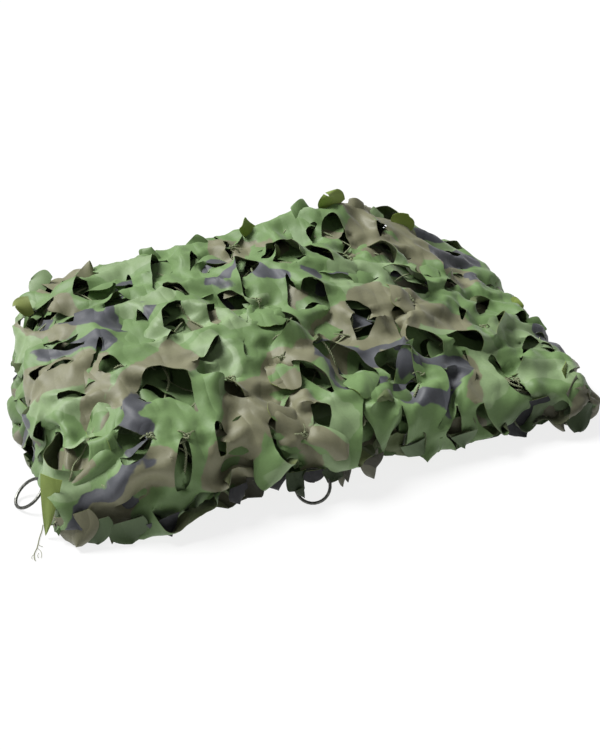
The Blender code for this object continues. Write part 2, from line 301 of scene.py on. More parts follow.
def resample(line, step):
    line = np.asarray(line, float)
    run = np.r_[0, np.cumsum(np.linalg.norm(np.diff(line, axis=0), axis=1))]
    n = max(2, int(round(run[-1] / step)) + 1)
    t = np.linspace(0, run[-1], n)
    if len(line) > 3:
        return np.stack([smooth(run, line[:, 0], t), smooth(run, line[:, 1], t)], 1)
    return np.stack([np.interp(t, run, line[:, 0]), np.interp(t, run, line[:, 1])], 1)


def cut_lines(rows, g, step, wide=1.0):
    """The knife's lines in flat cloth, for cuts placed on the heap at p, s, and
    the crescents that stand open beside them."""
    lines, gaps = [], []
    for p, s, kind, ang, size, flip, press in rows:
        c, d = math.cos(math.radians(ang)), math.sin(math.radians(ang))
        for k, part in enumerate(CUTS[kind]):
            q = resample(np.array(part, float) * 0.001 * size, step)
            sides = [q]
            if k == 0:
                t = np.linspace(0, 1, len(q))
                along = np.gradient(q, axis=0)
                n = np.stack([along[:, 1], -along[:, 0]], 1) / np.linalg.norm(along, axis=1, keepdims=True)
                w = wide * (0.0030 if press > 0 else 0.0085 + 0.0006 * abs(press)) * np.sin(math.pi * t) ** 0.8
                other = q + n * w[:, None]
                other[0], other[-1] = q[0], q[-1]
                sides.append(other)
            placed = []
            for r in sides:
                r = r.copy()
                if flip:
                    r[:, 0] *= -1
                placed.append(np.stack([g * p + r[:, 0] * c - r[:, 1] * d, g * s + r[:, 0] * d + r[:, 1] * c], 1))
            lines.extend(placed)
            if k == 0 and wide:
                gaps.append(np.concatenate([placed[0], placed[1][::-1][1:-1]]))
    return lines, gaps


def in_any(points, polygons):
    """Whether each point lies in one of the closed outlines."""
    hit = np.zeros(len(points), bool)
    for poly in polygons:
        lo, hi = poly.min(axis=0), poly.max(axis=0)
        near = np.flatnonzero((points[:, 0] > lo[0]) & (points[:, 0] < hi[0])
                              & (points[:, 1] > lo[1]) & (points[:, 1] < hi[1]))
        if not len(near):
            continue
        q = points[near]
        odd = np.zeros(len(q), bool)
        a, b = poly, np.roll(poly, -1, axis=0)
        for (ax, ay), (bx, by) in zip(a, b):
            if ay == by:
                continue
            cross = ((ay > q[:, 1]) != (by > q[:, 1])) & (q[:, 0] < (bx - ax) * (q[:, 1] - ay) / (by - ay) + ax)
            odd ^= cross
        hit[near[odd]] = True
    return hit


def largest_piece(vert, tri):
    """Leaves out anything the knife cut free of the sheet."""
    label = np.arange(len(vert))
    while True:
        low = label[tri].min(axis=1)
        new = label.copy()
        for k in range(3):
            np.minimum.at(new, tri[:, k], low)
        new = new[new]
        if (new == label).all():
            break
        label = new
    names, count = np.unique(label[tri[:, 0]], return_counts=True)
    keep = label[tri[:, 0]] == names[count.argmax()]
    tri = tri[keep]
    used = np.unique(tri)
    remap = -np.ones(len(vert), int)
    remap[used] = np.arange(len(used))
    return vert[used], remap[tri], 1 - keep.mean()


def flat_cloth(inside, bounds, lines, gaps, borders, step, seed):
    """A flat triangle mesh with the cloth slit along lines.

    Returns the flat points and the triangles, with each slit's sides given their own points."""
    rng = np.random.default_rng(seed)
    (a0, a1), (b0, b1) = bounds
    h = step * 0.866
    rows = []
    for r in range(int((b1 - b0) / h) + 1):
        a = np.arange(a0 + (0.5 * step if r % 2 else 0.0), a1, step)
        rows.append(np.stack([a, np.full(len(a), b0 + r * h)], 1))
    pts = np.concatenate(rows)
    pts = pts + rng.uniform(-0.10, 0.10, pts.shape) * step
    pts = pts[inside(pts, 0.35 * step)]
    pts = pts[~in_any(pts, gaps)]
    fixed, edges = [], []
    for line in list(lines) + list(borders):
        keep = inside(line, -1e-5) if any(line is q for q in lines) else np.ones(len(line), bool)
        base = len(fixed)
        index = {}
        for k, ok in enumerate(keep):
            if ok:
                index[k] = base + len(index)
        fixed.extend(line[keep])
        for k in range(len(line) - 1):
            if k in index and k + 1 in index:
                edges.append((index[k], index[k + 1]))
    fixed = np.array(fixed)
    n_slit_points = len(fixed)
    # grid points too close to a knife line are left out
    near = np.zeros(len(pts), bool)
    for k in range(0, len(fixed), 400):
        part = fixed[k:k + 400]
        d = (pts[:, None, 0] - part[None, :, 0]) ** 2 + (pts[:, None, 1] - part[None, :, 1]) ** 2
        near |= (d.min(axis=1) < (0.6 * step) ** 2)
    pts = pts[~near]
    allp = np.concatenate([fixed, pts])
    out = geometry.delaunay_2d_cdt([Vector((float(x), float(y))) for x, y in allp], edges, [], 0, 1e-7)
    vert = np.array([(v.x, v.y) for v in out[0]])
    tri = np.array([f for f in out[2] if len(f) == 3])
    c = vert[tri].mean(axis=1)
    e = vert[tri] - vert[np.roll(tri, 1, axis=1)]
    long_edge = np.sqrt((e**2).sum(axis=2)).max(axis=1)
    tri = tri[inside(c, -1e-5) & ~in_any(c, gaps) & (long_edge < 3.2 * step)]
    # anticlockwise
    u, v = vert[tri[:, 1]] - vert[tri[:, 0]], vert[tri[:, 2]] - vert[tri[:, 0]]
    turn = u[:, 0] * v[:, 1] - u[:, 1] * v[:, 0]
    tri[turn < 0] = tri[turn < 0][:, ::-1]
    tri = tri[np.abs(turn) > 1e-9]
    # which input edges belong to cuts and not to borders
    slit = set()
    cut_edge_ids = set()
    e_id = 0
    for li, line in enumerate(list(lines) + list(borders)):
        keep = inside(line, -1e-5) if li < len(lines) else np.ones(len(line), bool)
        for k in range(len(line) - 1):
            if keep[k] and keep[k + 1]:
                if li < len(lines):
                    cut_edge_ids.add(e_id)
                e_id += 1
    for (i, j), origin in zip(out[1], out[4]):
        if any(o in cut_edge_ids for o in origin):
            slit.add((min(i, j), max(i, j)))
    vert, tri = open_slits(vert, tri, slit)
    vert, tri, lost = largest_piece(vert, tri)
    print("PIECES lost %.4f" % lost)
    return vert, tri


def open_slits(vert, tri, slit):
    """Gives each side of a slit its own points."""
    around = {}
    points = {i for e in slit for i in e}
    for t, f in enumerate(tri.tolist()):
        for v in f:
            if v in points:
                around.setdefault(v, []).append(t)
    tri = tri.copy()
    vert = list(map(tuple, vert))
    base = tri.copy()
    for v, fans in around.items():
        left = set(fans)
        groups = []
        while left:
            seed = left.pop()
            group, stack = {seed}, [seed]
            while stack:
                t = stack.pop()
                others = [w for w in base[t] if w != v]
                for w in others:
                    if (min(v, w), max(v, w)) in slit:
                        continue
                    for t2 in list(left):
                        if w in base[t2]:
                            left.discard(t2)
                            group.add(t2)
                            stack.append(t2)
            groups.append(group)
        for group in groups[1:]:
            new = len(vert)
            vert.append(vert[v])
            for t in group:
                tri[t][tri[t] == v] = new
    used = np.unique(tri)
    remap = -np.ones(len(vert), int)
    remap[used] = np.arange(len(used))
    return np.array(vert)[used], remap[tri]


# ------------------------------------------------------------------ how the cloth settles
class Cloth:
    """Loose cloth near the heap's surface: it keeps its lengths, resists sharp
    bends, stays off what is under it and off itself."""

    def __init__(self, flat, tri, g, seed):
        self.flat, self.tri, self.g = flat, tri, g
        e = np.concatenate([tri[:, [0, 1]], tri[:, [1, 2]], tri[:, [2, 0]]])
        e.sort(axis=1)
        e, count = np.unique(e, axis=0, return_counts=True)
        self.i, self.j = e[:, 0], e[:, 1]
        self.rim = np.zeros(len(flat), bool)
        self.rim[e[count == 1].ravel()] = True
        self.rest = np.linalg.norm(flat[self.i] - flat[self.j], axis=1)
        self.n = len(flat)
        self.val = np.maximum(np.bincount(self.i, minlength=self.n) + np.bincount(self.j, minlength=self.n), 1)
        self.p, self.s = flat[:, 0] / g, flat[:, 1] / g
        self.p0, self.s0 = self.p.copy(), self.s.copy()
        self.x = bilinear(GRID, self.p, self.s)
        self.v = np.zeros_like(self.x)
        self.pin = np.zeros(self.n, bool)

    def lift(self, h):
        self.x = self.x + bilinear(NORMAL, self.p, self.s) * h[:, None]

    def gather(self, d):
        out = np.empty((self.n, 3))
        for k in range(3):
            out[:, k] = (np.bincount(self.i, d[:, k], self.n) - np.bincount(self.j, d[:, k], self.n))
        return out

    def bend(self, k):
        d = self.x[self.j] - self.x[self.i]
        lap = self.gather(d) / self.val[:, None]
        lap[self.rim] = 0.0
        d = lap[self.j] - lap[self.i]
        self.x = self.x - k * self.gather(d) / self.val[:, None]

    def stretch(self, k=1.0):
        d = self.x[self.j] - self.x[self.i]
        length = np.sqrt((d * d).sum(axis=1))
        d *= (0.5 * (length - self.rest) / np.maximum(length, 1e-9))[:, None]
        self.x = self.x + self.gather(d) * (k * 2.2 / self.val[:, None])

    def foot(self):
        """Follows each point's nearest place on the heap's surface."""
        base = bilinear(GRID, self.p, self.s)
        tp, ts = bilinear(TP, self.p, self.s), bilinear(TS, self.p, self.s)
        r = self.x - base
        a11, a22, a12 = (tp * tp).sum(1) + 1e-6, (ts * ts).sum(1) + 1e-6, (tp * ts).sum(1)
        b1, b2 = (r * tp).sum(1), (r * ts).sum(1)
        det = np.maximum(a11 * a22 - a12 * a12, 1e-6)
        dp = (a22 * b1 - a12 * b2) / det
        ds = (a11 * b2 - a12 * b1) / det
        self.p = np.clip(self.p + np.clip(0.6 * dp, -0.004, 0.004), self.p0 - 0.03, self.p0 + 0.03)
        self.s = np.clip(self.s + np.clip(0.6 * ds, -0.004, 0.004), self.s0 - 0.03, self.s0 + 0.03)

    def heights(self):
        base, n = bilinear(GRID, self.p, self.s), bilinear(NORMAL, self.p, self.s)
        n = n / np.maximum(np.linalg.norm(n, axis=1, keepdims=True), 1e-9)
        return ((self.x - base) * n).sum(axis=1), n

    def keep_off(self, low, high=0.022):
        h, n = self.heights()
        up = np.maximum(low - h, 0.0) - 0.3 * np.maximum(h - (high if self.high is None else self.high), 0.0)
        self.x = self.x + n * up[:, None]
        self.x[:, 2] = np.maximum(self.x[:, 2], 0.0012)
        for k, lo, hi in ((0, -0.336, 0.342), (1, -0.233, 0.233)):
            c = self.x[:, k]
            self.x[:, k] = np.where(c < lo, lo + 0.3 * (c - lo), np.where(c > hi, hi + 0.3 * (c - hi), c))

    def keep_apart(self, gap, far):
        """Pushes points that are near in space but far in the cloth apart."""
        cell = np.floor(self.x / gap).astype(np.int64) + 4000
        key = (cell[:, 0] * 9000 + cell[:, 1]) * 9000 + cell[:, 2]
        order = np.argsort(key, kind="stable")
        skey = key[order]
        move = np.zeros_like(self.x)
        count = np.zeros(self.n)
        for dx in (-1, 0, 1):
            for dy in (-1, 0, 1):
                for dz in (-1, 0, 1):
                    off = (dx * 9000 + dy) * 9000 + dz
                    if off < 0:
                        continue
                    lo = np.searchsorted(skey, key + off, "left")
                    hi = np.searchsorted(skey, key + off, "right")
                    m = hi - lo
                    src = np.repeat(np.arange(self.n), m)
                    if not len(src):
                        continue
                    start = np.repeat(lo, m)
                    within = np.arange(len(src)) - np.repeat(np.cumsum(m) - m, m)
                    dst = order[start + within]
                    if off == 0:
                        ok = src < dst
                        src, dst = src[ok], dst[ok]
                    d = self.x[src] - self.x[dst]
                    dist = np.sqrt((d * d).sum(axis=1))
                    f = self.flat[src] - self.flat[dst]
                    ok = (dist < gap) & (dist > 1e-7) & ((f * f).sum(axis=1) > far * far)
                    src, dst, d, dist = src[ok], dst[ok], d[ok], dist[ok]
                    push = d * (0.5 * (gap - dist) / dist)[:, None]
                    for k in range(3):
                        move[:, k] += np.bincount(src, push[:, k], self.n) - np.bincount(dst, push[:, k], self.n)
                    count += np.bincount(src, minlength=self.n) + np.bincount(dst, minlength=self.n)
        hit = count > 0
        self.x[hit] += move[hit] / np.maximum(count[hit], 1)[:, None] * 1.4

    def run(self, steps, low, force, bend=0.25, inner=6, dt=0.004, drag=0.90, apart=0.0036, every=3, g=9.81):
        for step in range(steps):
            self.foot()
            n = bilinear(NORMAL, self.p, self.s)
            acc = n * force[:, None]
            acc[:, 2] -= g
            old = self.x.copy()
            self.v = self.v * drag + acc * dt
            speed = np.linalg.norm(self.v, axis=1, keepdims=True)
            self.v *= np.minimum(1.0, 0.4 / np.maximum(speed, 1e-9))
            self.x = self.x + self.v * dt
            for it in range(inner):
                self.stretch()
                if bend and it % 2 == 0:
                    self.bend(bend)
                if len(self.tie_points):
                    self.x[self.tie_points] += 0.5 * (self.tie_at - self.x[self.tie_points])
            if apart and step % every == 0:
                self.keep_apart(apart, 0.0085)
            self.keep_off(low)
            self.v = (self.x - old) / dt

    def settle(self, rounds, low):
        """Lets the cloth find its own lengths again, which leaves flat panels and firmer folds."""
        for k in range(rounds):
            if k % 8 == 0:
                self.foot()
                self.keep_apart(0.0030, 0.0085)
            self.stretch()
            if k % 3 == 0:
                self.bend(0.25)
            self.keep_off(low)

    tie_points = np.zeros(0, int)
    tie_at = np.zeros((0, 3))
    high = None

    def tie(self, points, height):
        """Ties these points to the cord mesh, which lies on the heap's surface."""
        self.tie_points = np.r_[self.tie_points, points]
        p, s = self.p0[points], self.s0[points]
        self.tie_at = np.concatenate([self.tie_at, bilinear(GRID, p, s) + bilinear(NORMAL, p, s) * height])


# ------------------------------------------------------------------ the skin
GATHER = 1.11
STEP = 0.0043

# Openings placed one by one: a cut from one place (p, s) through another to a third,
# how wide it stands open there and how far its outer side lifts, in millimetres.
OPENINGS = (
    ( 0.022,  0.166,  0.030,  0.166,  0.042,  0.110,  6, 4),
    ( 0.106,  0.146,  0.118,  0.146,  0.130,  0.126,  9, 5),
    ( 0.086,  0.082,  0.094,  0.102,  0.110,  0.110,  9, 5),
    ( 0.054,  0.058,  0.050,  0.098,  0.070,  0.098, 12, 5),
    ( 0.054,  0.062,  0.074,  0.062,  0.090,  0.026,  9, 5),
    ( 0.134,  0.074,  0.142,  0.098,  0.158,  0.106,  9, 6),
    ( 0.170,  0.066,  0.194,  0.118,  0.210,  0.130, 13, 7),
    ( 0.182,  0.046,  0.198,  0.050,  0.206,  0.026,  8, 5),
    ( 0.162, -0.018,  0.174,  0.006,  0.194,  0.018,  7, 5),
    ( 0.122, -0.006,  0.138,  0.010,  0.150,  0.022, 11, 6),
    ( 0.038, -0.034,  0.046, -0.014,  0.074, -0.010, 14, 6),
    ( 0.102, -0.042,  0.114, -0.054,  0.114, -0.074, 15, 6),
    ( 0.110, -0.102,  0.150, -0.078,  0.158, -0.138, 30, 8),
    ( 0.018, -0.098,  0.022, -0.134,  0.054, -0.162,  5, 5),
    ( 0.078, -0.138,  0.094, -0.150,  0.106, -0.162,  5, 5),
    ( 0.082, -0.162,  0.094, -0.182,  0.110, -0.162,  9, 4),
    ( 0.138, -0.166,  0.118, -0.194,  0.118, -0.214, 14, 5),
    ( 0.182, -0.166,  0.170, -0.150,  0.166, -0.186, 12, 5),
    (-0.022, -0.118,  0.018, -0.162,  0.014, -0.186, 15, 5),
    ( 0.026, -0.210,  0.034, -0.238,  0.062, -0.262, 19, 6),
    ( 0.090, -0.230,  0.118, -0.258,  0.166, -0.242,  7, 8),
    ( 0.138, -0.210,  0.158, -0.214,  0.174, -0.234, 12, 6),
    ( 0.186, -0.102,  0.206, -0.114,  0.214, -0.134,  9, 6),
    ( 0.222,  0.086,  0.242,  0.122,  0.246,  0.074, 11, 6),
    ( 0.230,  0.018,  0.210, -0.002,  0.214, -0.034,  7, 5),
    ( 0.234,  0.026,  0.250,  0.018,  0.266, -0.006,  7, 6),
    ( 0.258, -0.006,  0.250, -0.014,  0.242, -0.034,  7, 4),
    ( 0.302,  0.054,  0.274,  0.066,  0.258,  0.010, 14, 6),
    ( 0.306,  0.062,  0.338,  0.102,  0.334,  0.038, 20, 8),
    ( 0.354,  0.086,  0.370,  0.070,  0.374,  0.038, 12, 6),
    ( 0.318,  0.026,  0.302,  0.006,  0.306, -0.014,  9, 5),
    ( 0.310, -0.006,  0.338,  0.010,  0.350, -0.030, 16, 7),
    ( 0.282, -0.014,  0.302, -0.022,  0.302, -0.054,  9, 6),
    ( 0.386,  0.102,  0.410,  0.118,  0.410,  0.054, 18, 8),
    ( 0.426,  0.082,  0.438,  0.058,  0.434,  0.026,  9, 6),
    ( 0.394,  0.026,  0.394,  0.006,  0.414,  0.010,  8, 5),
    ( 0.422,  0.022,  0.438,  0.018,  0.434, -0.010,  9, 6),
    ( 0.434, -0.010,  0.458,  0.018,  0.466, -0.006, 12, 7),
    ( 0.366, -0.022,  0.382, -0.022,  0.386, -0.038,  9, 5),
    ( 0.358, -0.066,  0.370, -0.042,  0.386, -0.034, 10, 5),
    ( 0.406, -0.046,  0.398, -0.078,  0.414, -0.086,  8, 5),
    ( 0.414, -0.082,  0.446, -0.070,  0.454, -0.098, 18, 8),
    ( 0.462, -0.074,  0.490, -0.074,  0.498, -0.102, 18, 8),
    ( 0.314, -0.086,  0.346, -0.074,  0.362, -0.114, 26, 8),
    ( 0.370, -0.086,  0.406, -0.098,  0.406, -0.126, 28, 8),
    ( 0.342, -0.126,  0.314, -0.162,  0.310, -0.194,  9, 6),
    ( 0.310, -0.194,  0.326, -0.210,  0.350, -0.218,  8, 6),
    ( 0.378, -0.146,  0.354, -0.178,  0.338, -0.202,  7, 5),
    ( 0.378, -0.194,  0.402, -0.206,  0.394, -0.230, 12, 7),
    ( 0.414, -0.182,  0.446, -0.174,  0.446, -0.202, 18, 7),
    ( 0.470, -0.170,  0.482, -0.190,  0.494, -0.218, 10, 6),
    ( 0.506, -0.106,  0.494, -0.150,  0.530, -0.166, 18, 8),
    ( 0.530, -0.166,  0.538, -0.170,  0.538, -0.186,  6, 4),
    ( 0.542, -0.110,  0.558, -0.086,  0.570, -0.086,  9, 5),
    ( 0.570, -0.090,  0.582, -0.090,  0.578, -0.106,  7, 4),
    ( 0.494, -0.022,  0.498, -0.030,  0.490, -0.046,  6, 4),
    ( 0.518, -0.034,  0.534, -0.010,  0.546, -0.006,  8, 4),
    ( 0.502,  0.034,  0.518,  0.070,  0.518,  0.046,  8, 4),
    ( 0.278, -0.090,  0.302, -0.098,  0.306, -0.126, 13, 7),
    ( 0.258, -0.094,  0.274, -0.094,  0.270, -0.118, 11, 5),
    ( 0.298, -0.138,  0.278, -0.150,  0.262, -0.178,  9, 5),
    ( 0.234, -0.154,  0.218, -0.186,  0.254, -0.214,  9, 7),
    ( 0.254, -0.210,  0.262, -0.222,  0.274, -0.218,  7, 4),
    ( 0.234, -0.054,  0.222, -0.074,  0.226, -0.078,  6, 4),
    ( 0.566, -0.178,  0.566, -0.198,  0.502, -0.210, 16, 7),
    ( 0.582, -0.146,  0.594, -0.130,  0.606, -0.126,  6, 4),
    ( 0.482, -0.102,  0.474, -0.118,  0.466, -0.146,  6, 4),
    ( 0.438, -0.114,  0.426, -0.146,  0.406, -0.174,  6, 5),
    ( 0.202, -0.194,  0.206, -0.210,  0.214, -0.226,  6, 6),
    ( 0.298, -0.222,  0.310, -0.238,  0.326, -0.234,  6, 5),
    ( 0.278,  0.154,  0.286,  0.134,  0.278,  0.090,  7, 4),
    ( 0.114,  0.050,  0.138,  0.058,  0.162,  0.042,  5, 4),
    ( 0.174, -0.082,  0.190, -0.062,  0.210, -0.046,  2, 6),
    ( 0.258, -0.066,  0.282, -0.054,  0.298, -0.022,  4, 6),
    ( 0.170, -0.092,  0.182, -0.110,  0.206, -0.104,  2, 6),
    ( 0.158, -0.038,  0.174, -0.022,  0.190, -0.022,  2, 6),
    ( 0.102, -0.014,  0.100, -0.034,  0.082, -0.054,  3, 6),
    ( 0.366, -0.046,  0.382, -0.052,  0.398, -0.042,  3, 6),
    ( 0.302, -0.070,  0.306, -0.084,  0.326, -0.086,  2, 6),
    ( 0.534, -0.038,  0.538, -0.056,  0.514, -0.082,  4, 6),
    ( 0.534, -0.114,  0.538, -0.130,  0.522, -0.148,  3, 6),
    ( 0.366,  0.110,  0.378,  0.120,  0.390,  0.116,  4, 5),
    ( 0.446,  0.066,  0.462,  0.054,  0.480,  0.062,  4, 6),
    ( 0.060,  0.020,  0.078,  0.006,  0.090, -0.012,  3, 6),
    ( 0.010,  0.060,  0.026,  0.046,  0.030,  0.020,  5, 6),
)


def more_cuts(known, p0, p1, s0, s1, seed, pitch=0.056, near=0.043, sizes=(0.75, 0.95)):
    """Fills the rest of a sheet with the same cuts, in staggered rows."""
    rng = np.random.default_rng(seed)
    rows = list(known)
    kinds = ("hump", "wave", "seven", "drop")
    r = 0
    s = s0
    while s < s1:
        p = p0 + (0.5 * pitch if r % 2 else 0.0)
        while p < p1:
            q = (p + rng.uniform(-0.008, 0.008), s + rng.uniform(-0.006, 0.006))
            corner = q[0] < 0.060 and q[1] < -0.125 and p0 < 0
            if not corner and all(math.hypot(q[0] - k[0], q[1] - k[1]) > near for k in rows):
                press = float(rng.choice((-11, -9, -8, 9, 10)))
                turn = 180.0 if (press > 0) != (rng.uniform() < 0.2) else 0.0
                rows.append((q[0], q[1], kinds[int(rng.integers(0, 4))], float(rng.uniform(-50, 50)) + turn,
                             float(rng.uniform(*sizes)), int(rng.integers(0, 2)), press))
            p += pitch
        s += pitch * 0.86
        r += 1
    return rows


def more_openings(known, seed, pitch=0.050):
    """The same openings over the parts that the photo doesn't show, and small ones between those it does."""
    rng = np.random.default_rng(seed)
    known, rows, r = list(known), [], 0
    s = -0.25
    while s < 0.31:
        p = -0.10 + (0.5 * pitch if r % 2 else 0.0)
        while p < RIGHT_X + 0.07:
            q = np.array((p + rng.uniform(-0.009, 0.009), s + rng.uniform(-0.007, 0.007)))
            seen = -0.012 < q[0] < 0.585 and -0.275 < q[1] < 0.125
            far = 0.033 if seen else 0.058 if q[0] < 0 else 0.040
            clear = all(math.hypot(q[0] - k[2], q[1] - k[3]) > far for k in known + rows if k in known or q[0] < 0)
            clear = clear and q[1] < hem(q[0], 1) - 0.046 and q[0] < RIGHT_X - 0.004
            ang, half = float(rng.uniform(-0.9, 0.9)), float(rng.uniform(0.013, 0.023))
            bulge, wide, lift = float(rng.uniform(0.5, 0.9)) * half, float(rng.uniform(7, 15)), float(rng.uniform(5, 7))
            if clear and seen:
                less = 0.28 if q[0] < 0.20 and q[1] > -0.06 else 0.40
                half, bulge, wide, lift = 0.72 * half, 0.72 * bulge, less * wide, 1.1 * lift
            if clear:
                u, v = np.array((math.cos(ang), math.sin(ang))), np.array((-math.sin(ang), math.cos(ang)))
                one, mid, two = q - half * u, q + bulge * v, q + half * u
                rows.append((*one, *mid, *two, wide, lift))
            p += pitch
        s += pitch * 0.86
        r += 1
    return list(known) + rows


def arc(row, g, step):
    """One opening in the flat cloth: its outer line, its inner line, and the way between."""
    one, mid, two = g * np.array(row[0:2], float), g * np.array(row[2:4], float), g * np.array(row[4:6], float)
    wide = (0.0013 * row[6] + 0.001) * g
    q = 2 * mid - 0.5 * (one + two)
    length = np.linalg.norm(mid - one) + np.linalg.norm(two - mid)
    t = np.linspace(0, 1, max(6, int(round(length / step)) + 1))
    line = ((1 - t) ** 2)[:, None] * one + (2 * t * (1 - t))[:, None] * q + (t**2)[:, None] * two
    chord = two - one
    inward = 0.5 * (one + two) - mid
    if np.linalg.norm(inward) < 0.12 * np.linalg.norm(chord):
        inward = np.array((-chord[1], chord[0]))
        if inward[1] > 0:
            inward = -inward
    inward = inward / np.linalg.norm(inward)
    inner = line + inward * (wide * np.sin(math.pi * t) ** 0.75)[:, None]
    inner[0], inner[-1] = line[0], line[-1]
    return line, inner, inward, t, wide


def shape_openings(rows, flat, g, step):
    """Heights, pushes and own sizes of the cloth beside the openings."""
    h, force, own = np.zeros(len(flat)), np.zeros(len(flat)), flat.copy()
    for row in rows:
        line, inner, inward, t, wide = arc(row, g, step)
        lo, hi = line.min(axis=0) - 0.045, line.max(axis=0) + 0.045
        near = np.flatnonzero((flat[:, 0] > lo[0]) & (flat[:, 0] < hi[0]) & (flat[:, 1] > lo[1]) & (flat[:, 1] < hi[1]))
        if not len(near):
            continue
        x = flat[near]
        d2 = ((x[:, None, :] - line[None]) ** 2).sum(axis=2)
        k = d2.argmin(axis=1)
        gap = np.sqrt(d2[np.arange(len(k)), k])
        side = ((x - line[k]) * inward).sum(axis=1)
        mid = np.sin(math.pi * t[k])
        lift = 1.3 * row[7]
        outer = side <= 1e-5
        lip = np.where(outer, mid**0.5 * np.exp(-(gap / 0.015) ** 2), 0.0)
        past = np.maximum(side - wide * mid**0.75, 0)
        under_lip = np.where(outer, 0.0, mid**0.5 * np.exp(-(past / 0.013) ** 2))
        h[near] += 0.001 * lift * (0.85 * lip - 0.60 * under_lip)
        force[near] += lift * (2.0 * lip - 1.4 * under_lip)
        over = np.where(outer, mid * np.exp(-(gap / 0.020) ** 2), 0.0)
        own[near] += (0.0011 * lift * over)[:, None] * inward
    return h, force, own


def skin_inside(pts, margin=0.0):
    p, s = pts[:, 0] / GATHER, pts[:, 1] / GATHER
    m = margin / GATHER
    lo = hem(p, 0) - FRONT_DROP(p)
    hi = hem(p, 1) + 0.004 + 0.010 * np.abs(np.sin(math.pi * p / 0.047 + 0.8)) ** 0.6
    left = LEFT_X - (np.interp(np.clip(s, SS[0], SS[-1]), SS, LEFT_HIGH) - 0.002
                     - 0.010 * np.abs(np.sin(s / 0.017)) ** 1.5 - 0.030 * np.clip((-0.09 - s) / 0.10, 0, 1))
    return (s > lo + m) & (s < hi - m) & (p > left + m) & (p < RIGHT_X + 0.078 - m)


def RAISED(p):
    """Where the front edge stands clear of the floor."""
    return np.clip((p - 0.118) / 0.032, 0, 1) * np.clip((0.545 - p) / 0.035, 0, 1)


def FRONT_DROP(p):
    """How far the front edge's lobes reach past the heap's own hem."""
    lobes = np.abs(np.sin(math.pi * p / 0.043 + 0.4)) ** 0.6
    ring = np.clip((p - 0.225) / 0.020, 0, 1) * np.clip((0.340 - p) / 0.020, 0, 1)
    return -0.005 + 0.011 * lobes - 0.030 * np.clip((0.030 - p) / 0.06, 0, 1) - 0.020 * RAISED(p) - 0.006 * ring


i_left = int(np.argmin(np.abs(PS - LEFT_X)))
LEFT_HIGH = np.maximum(GRID[i_left, :, 2] - 0.002, 0.004)

p_line = np.arange(P_LOW, RIGHT_X + 0.085, 0.0012)


def border(fn, g):
    line = np.stack([p_line * g, fn(p_line) * g], 1)
    return line


def shape_cuts(cuts, a, b, g, up=1.0, push=1.0):
    """Where each freed lobe starts, and which way it is pushed."""
    h, force = np.zeros(len(a)), np.zeros(len(a))
    for p, s, kind, ang, size, flip, press in cuts:
        c, d = math.cos(math.radians(ang)), math.sin(math.radians(ang))
        u, v = a - g * p, b - g * s
        q0, q1 = (u * c + v * d), (-u * d + v * c)
        if flip:
            q0 = -q0
        line = np.array(CUTS[kind][0], float) * 0.001 * size
        order = np.argsort(line[:, 0])
        top = np.interp(q0, line[order, 0], line[order, 1])
        below = top - q1                  # how far on the lobe's side of the knife
        across = np.exp(-(q0 / (0.024 * size)) ** 4)
        lobe = across * (below > 0.0008) * np.exp(-(np.maximum(below, 0) / (0.022 * size)) ** 2)
        lip = across * (below <= 0.0008) * np.exp(-(np.minimum(below, 0) / (0.012 * size)) ** 2)
        h += 0.001 * press * (0.9 * lobe - 0.65 * lip) * up
        force += press * (2.2 * lobe - 1.6 * lip) * push
    return h, force


# Where the cord mesh is tied and shows: places on the heap.
KNOTS = ((0.286, 0.130), (0.274, -0.006), (0.270, -0.102), (0.262, -0.206), (0.102, -0.178), (0.530, -0.066),
         (0.530, -0.158), (0.418, -0.154), (0.450, -0.038), (0.206, -0.122), (0.406, 0.042), (0.138, -0.190))


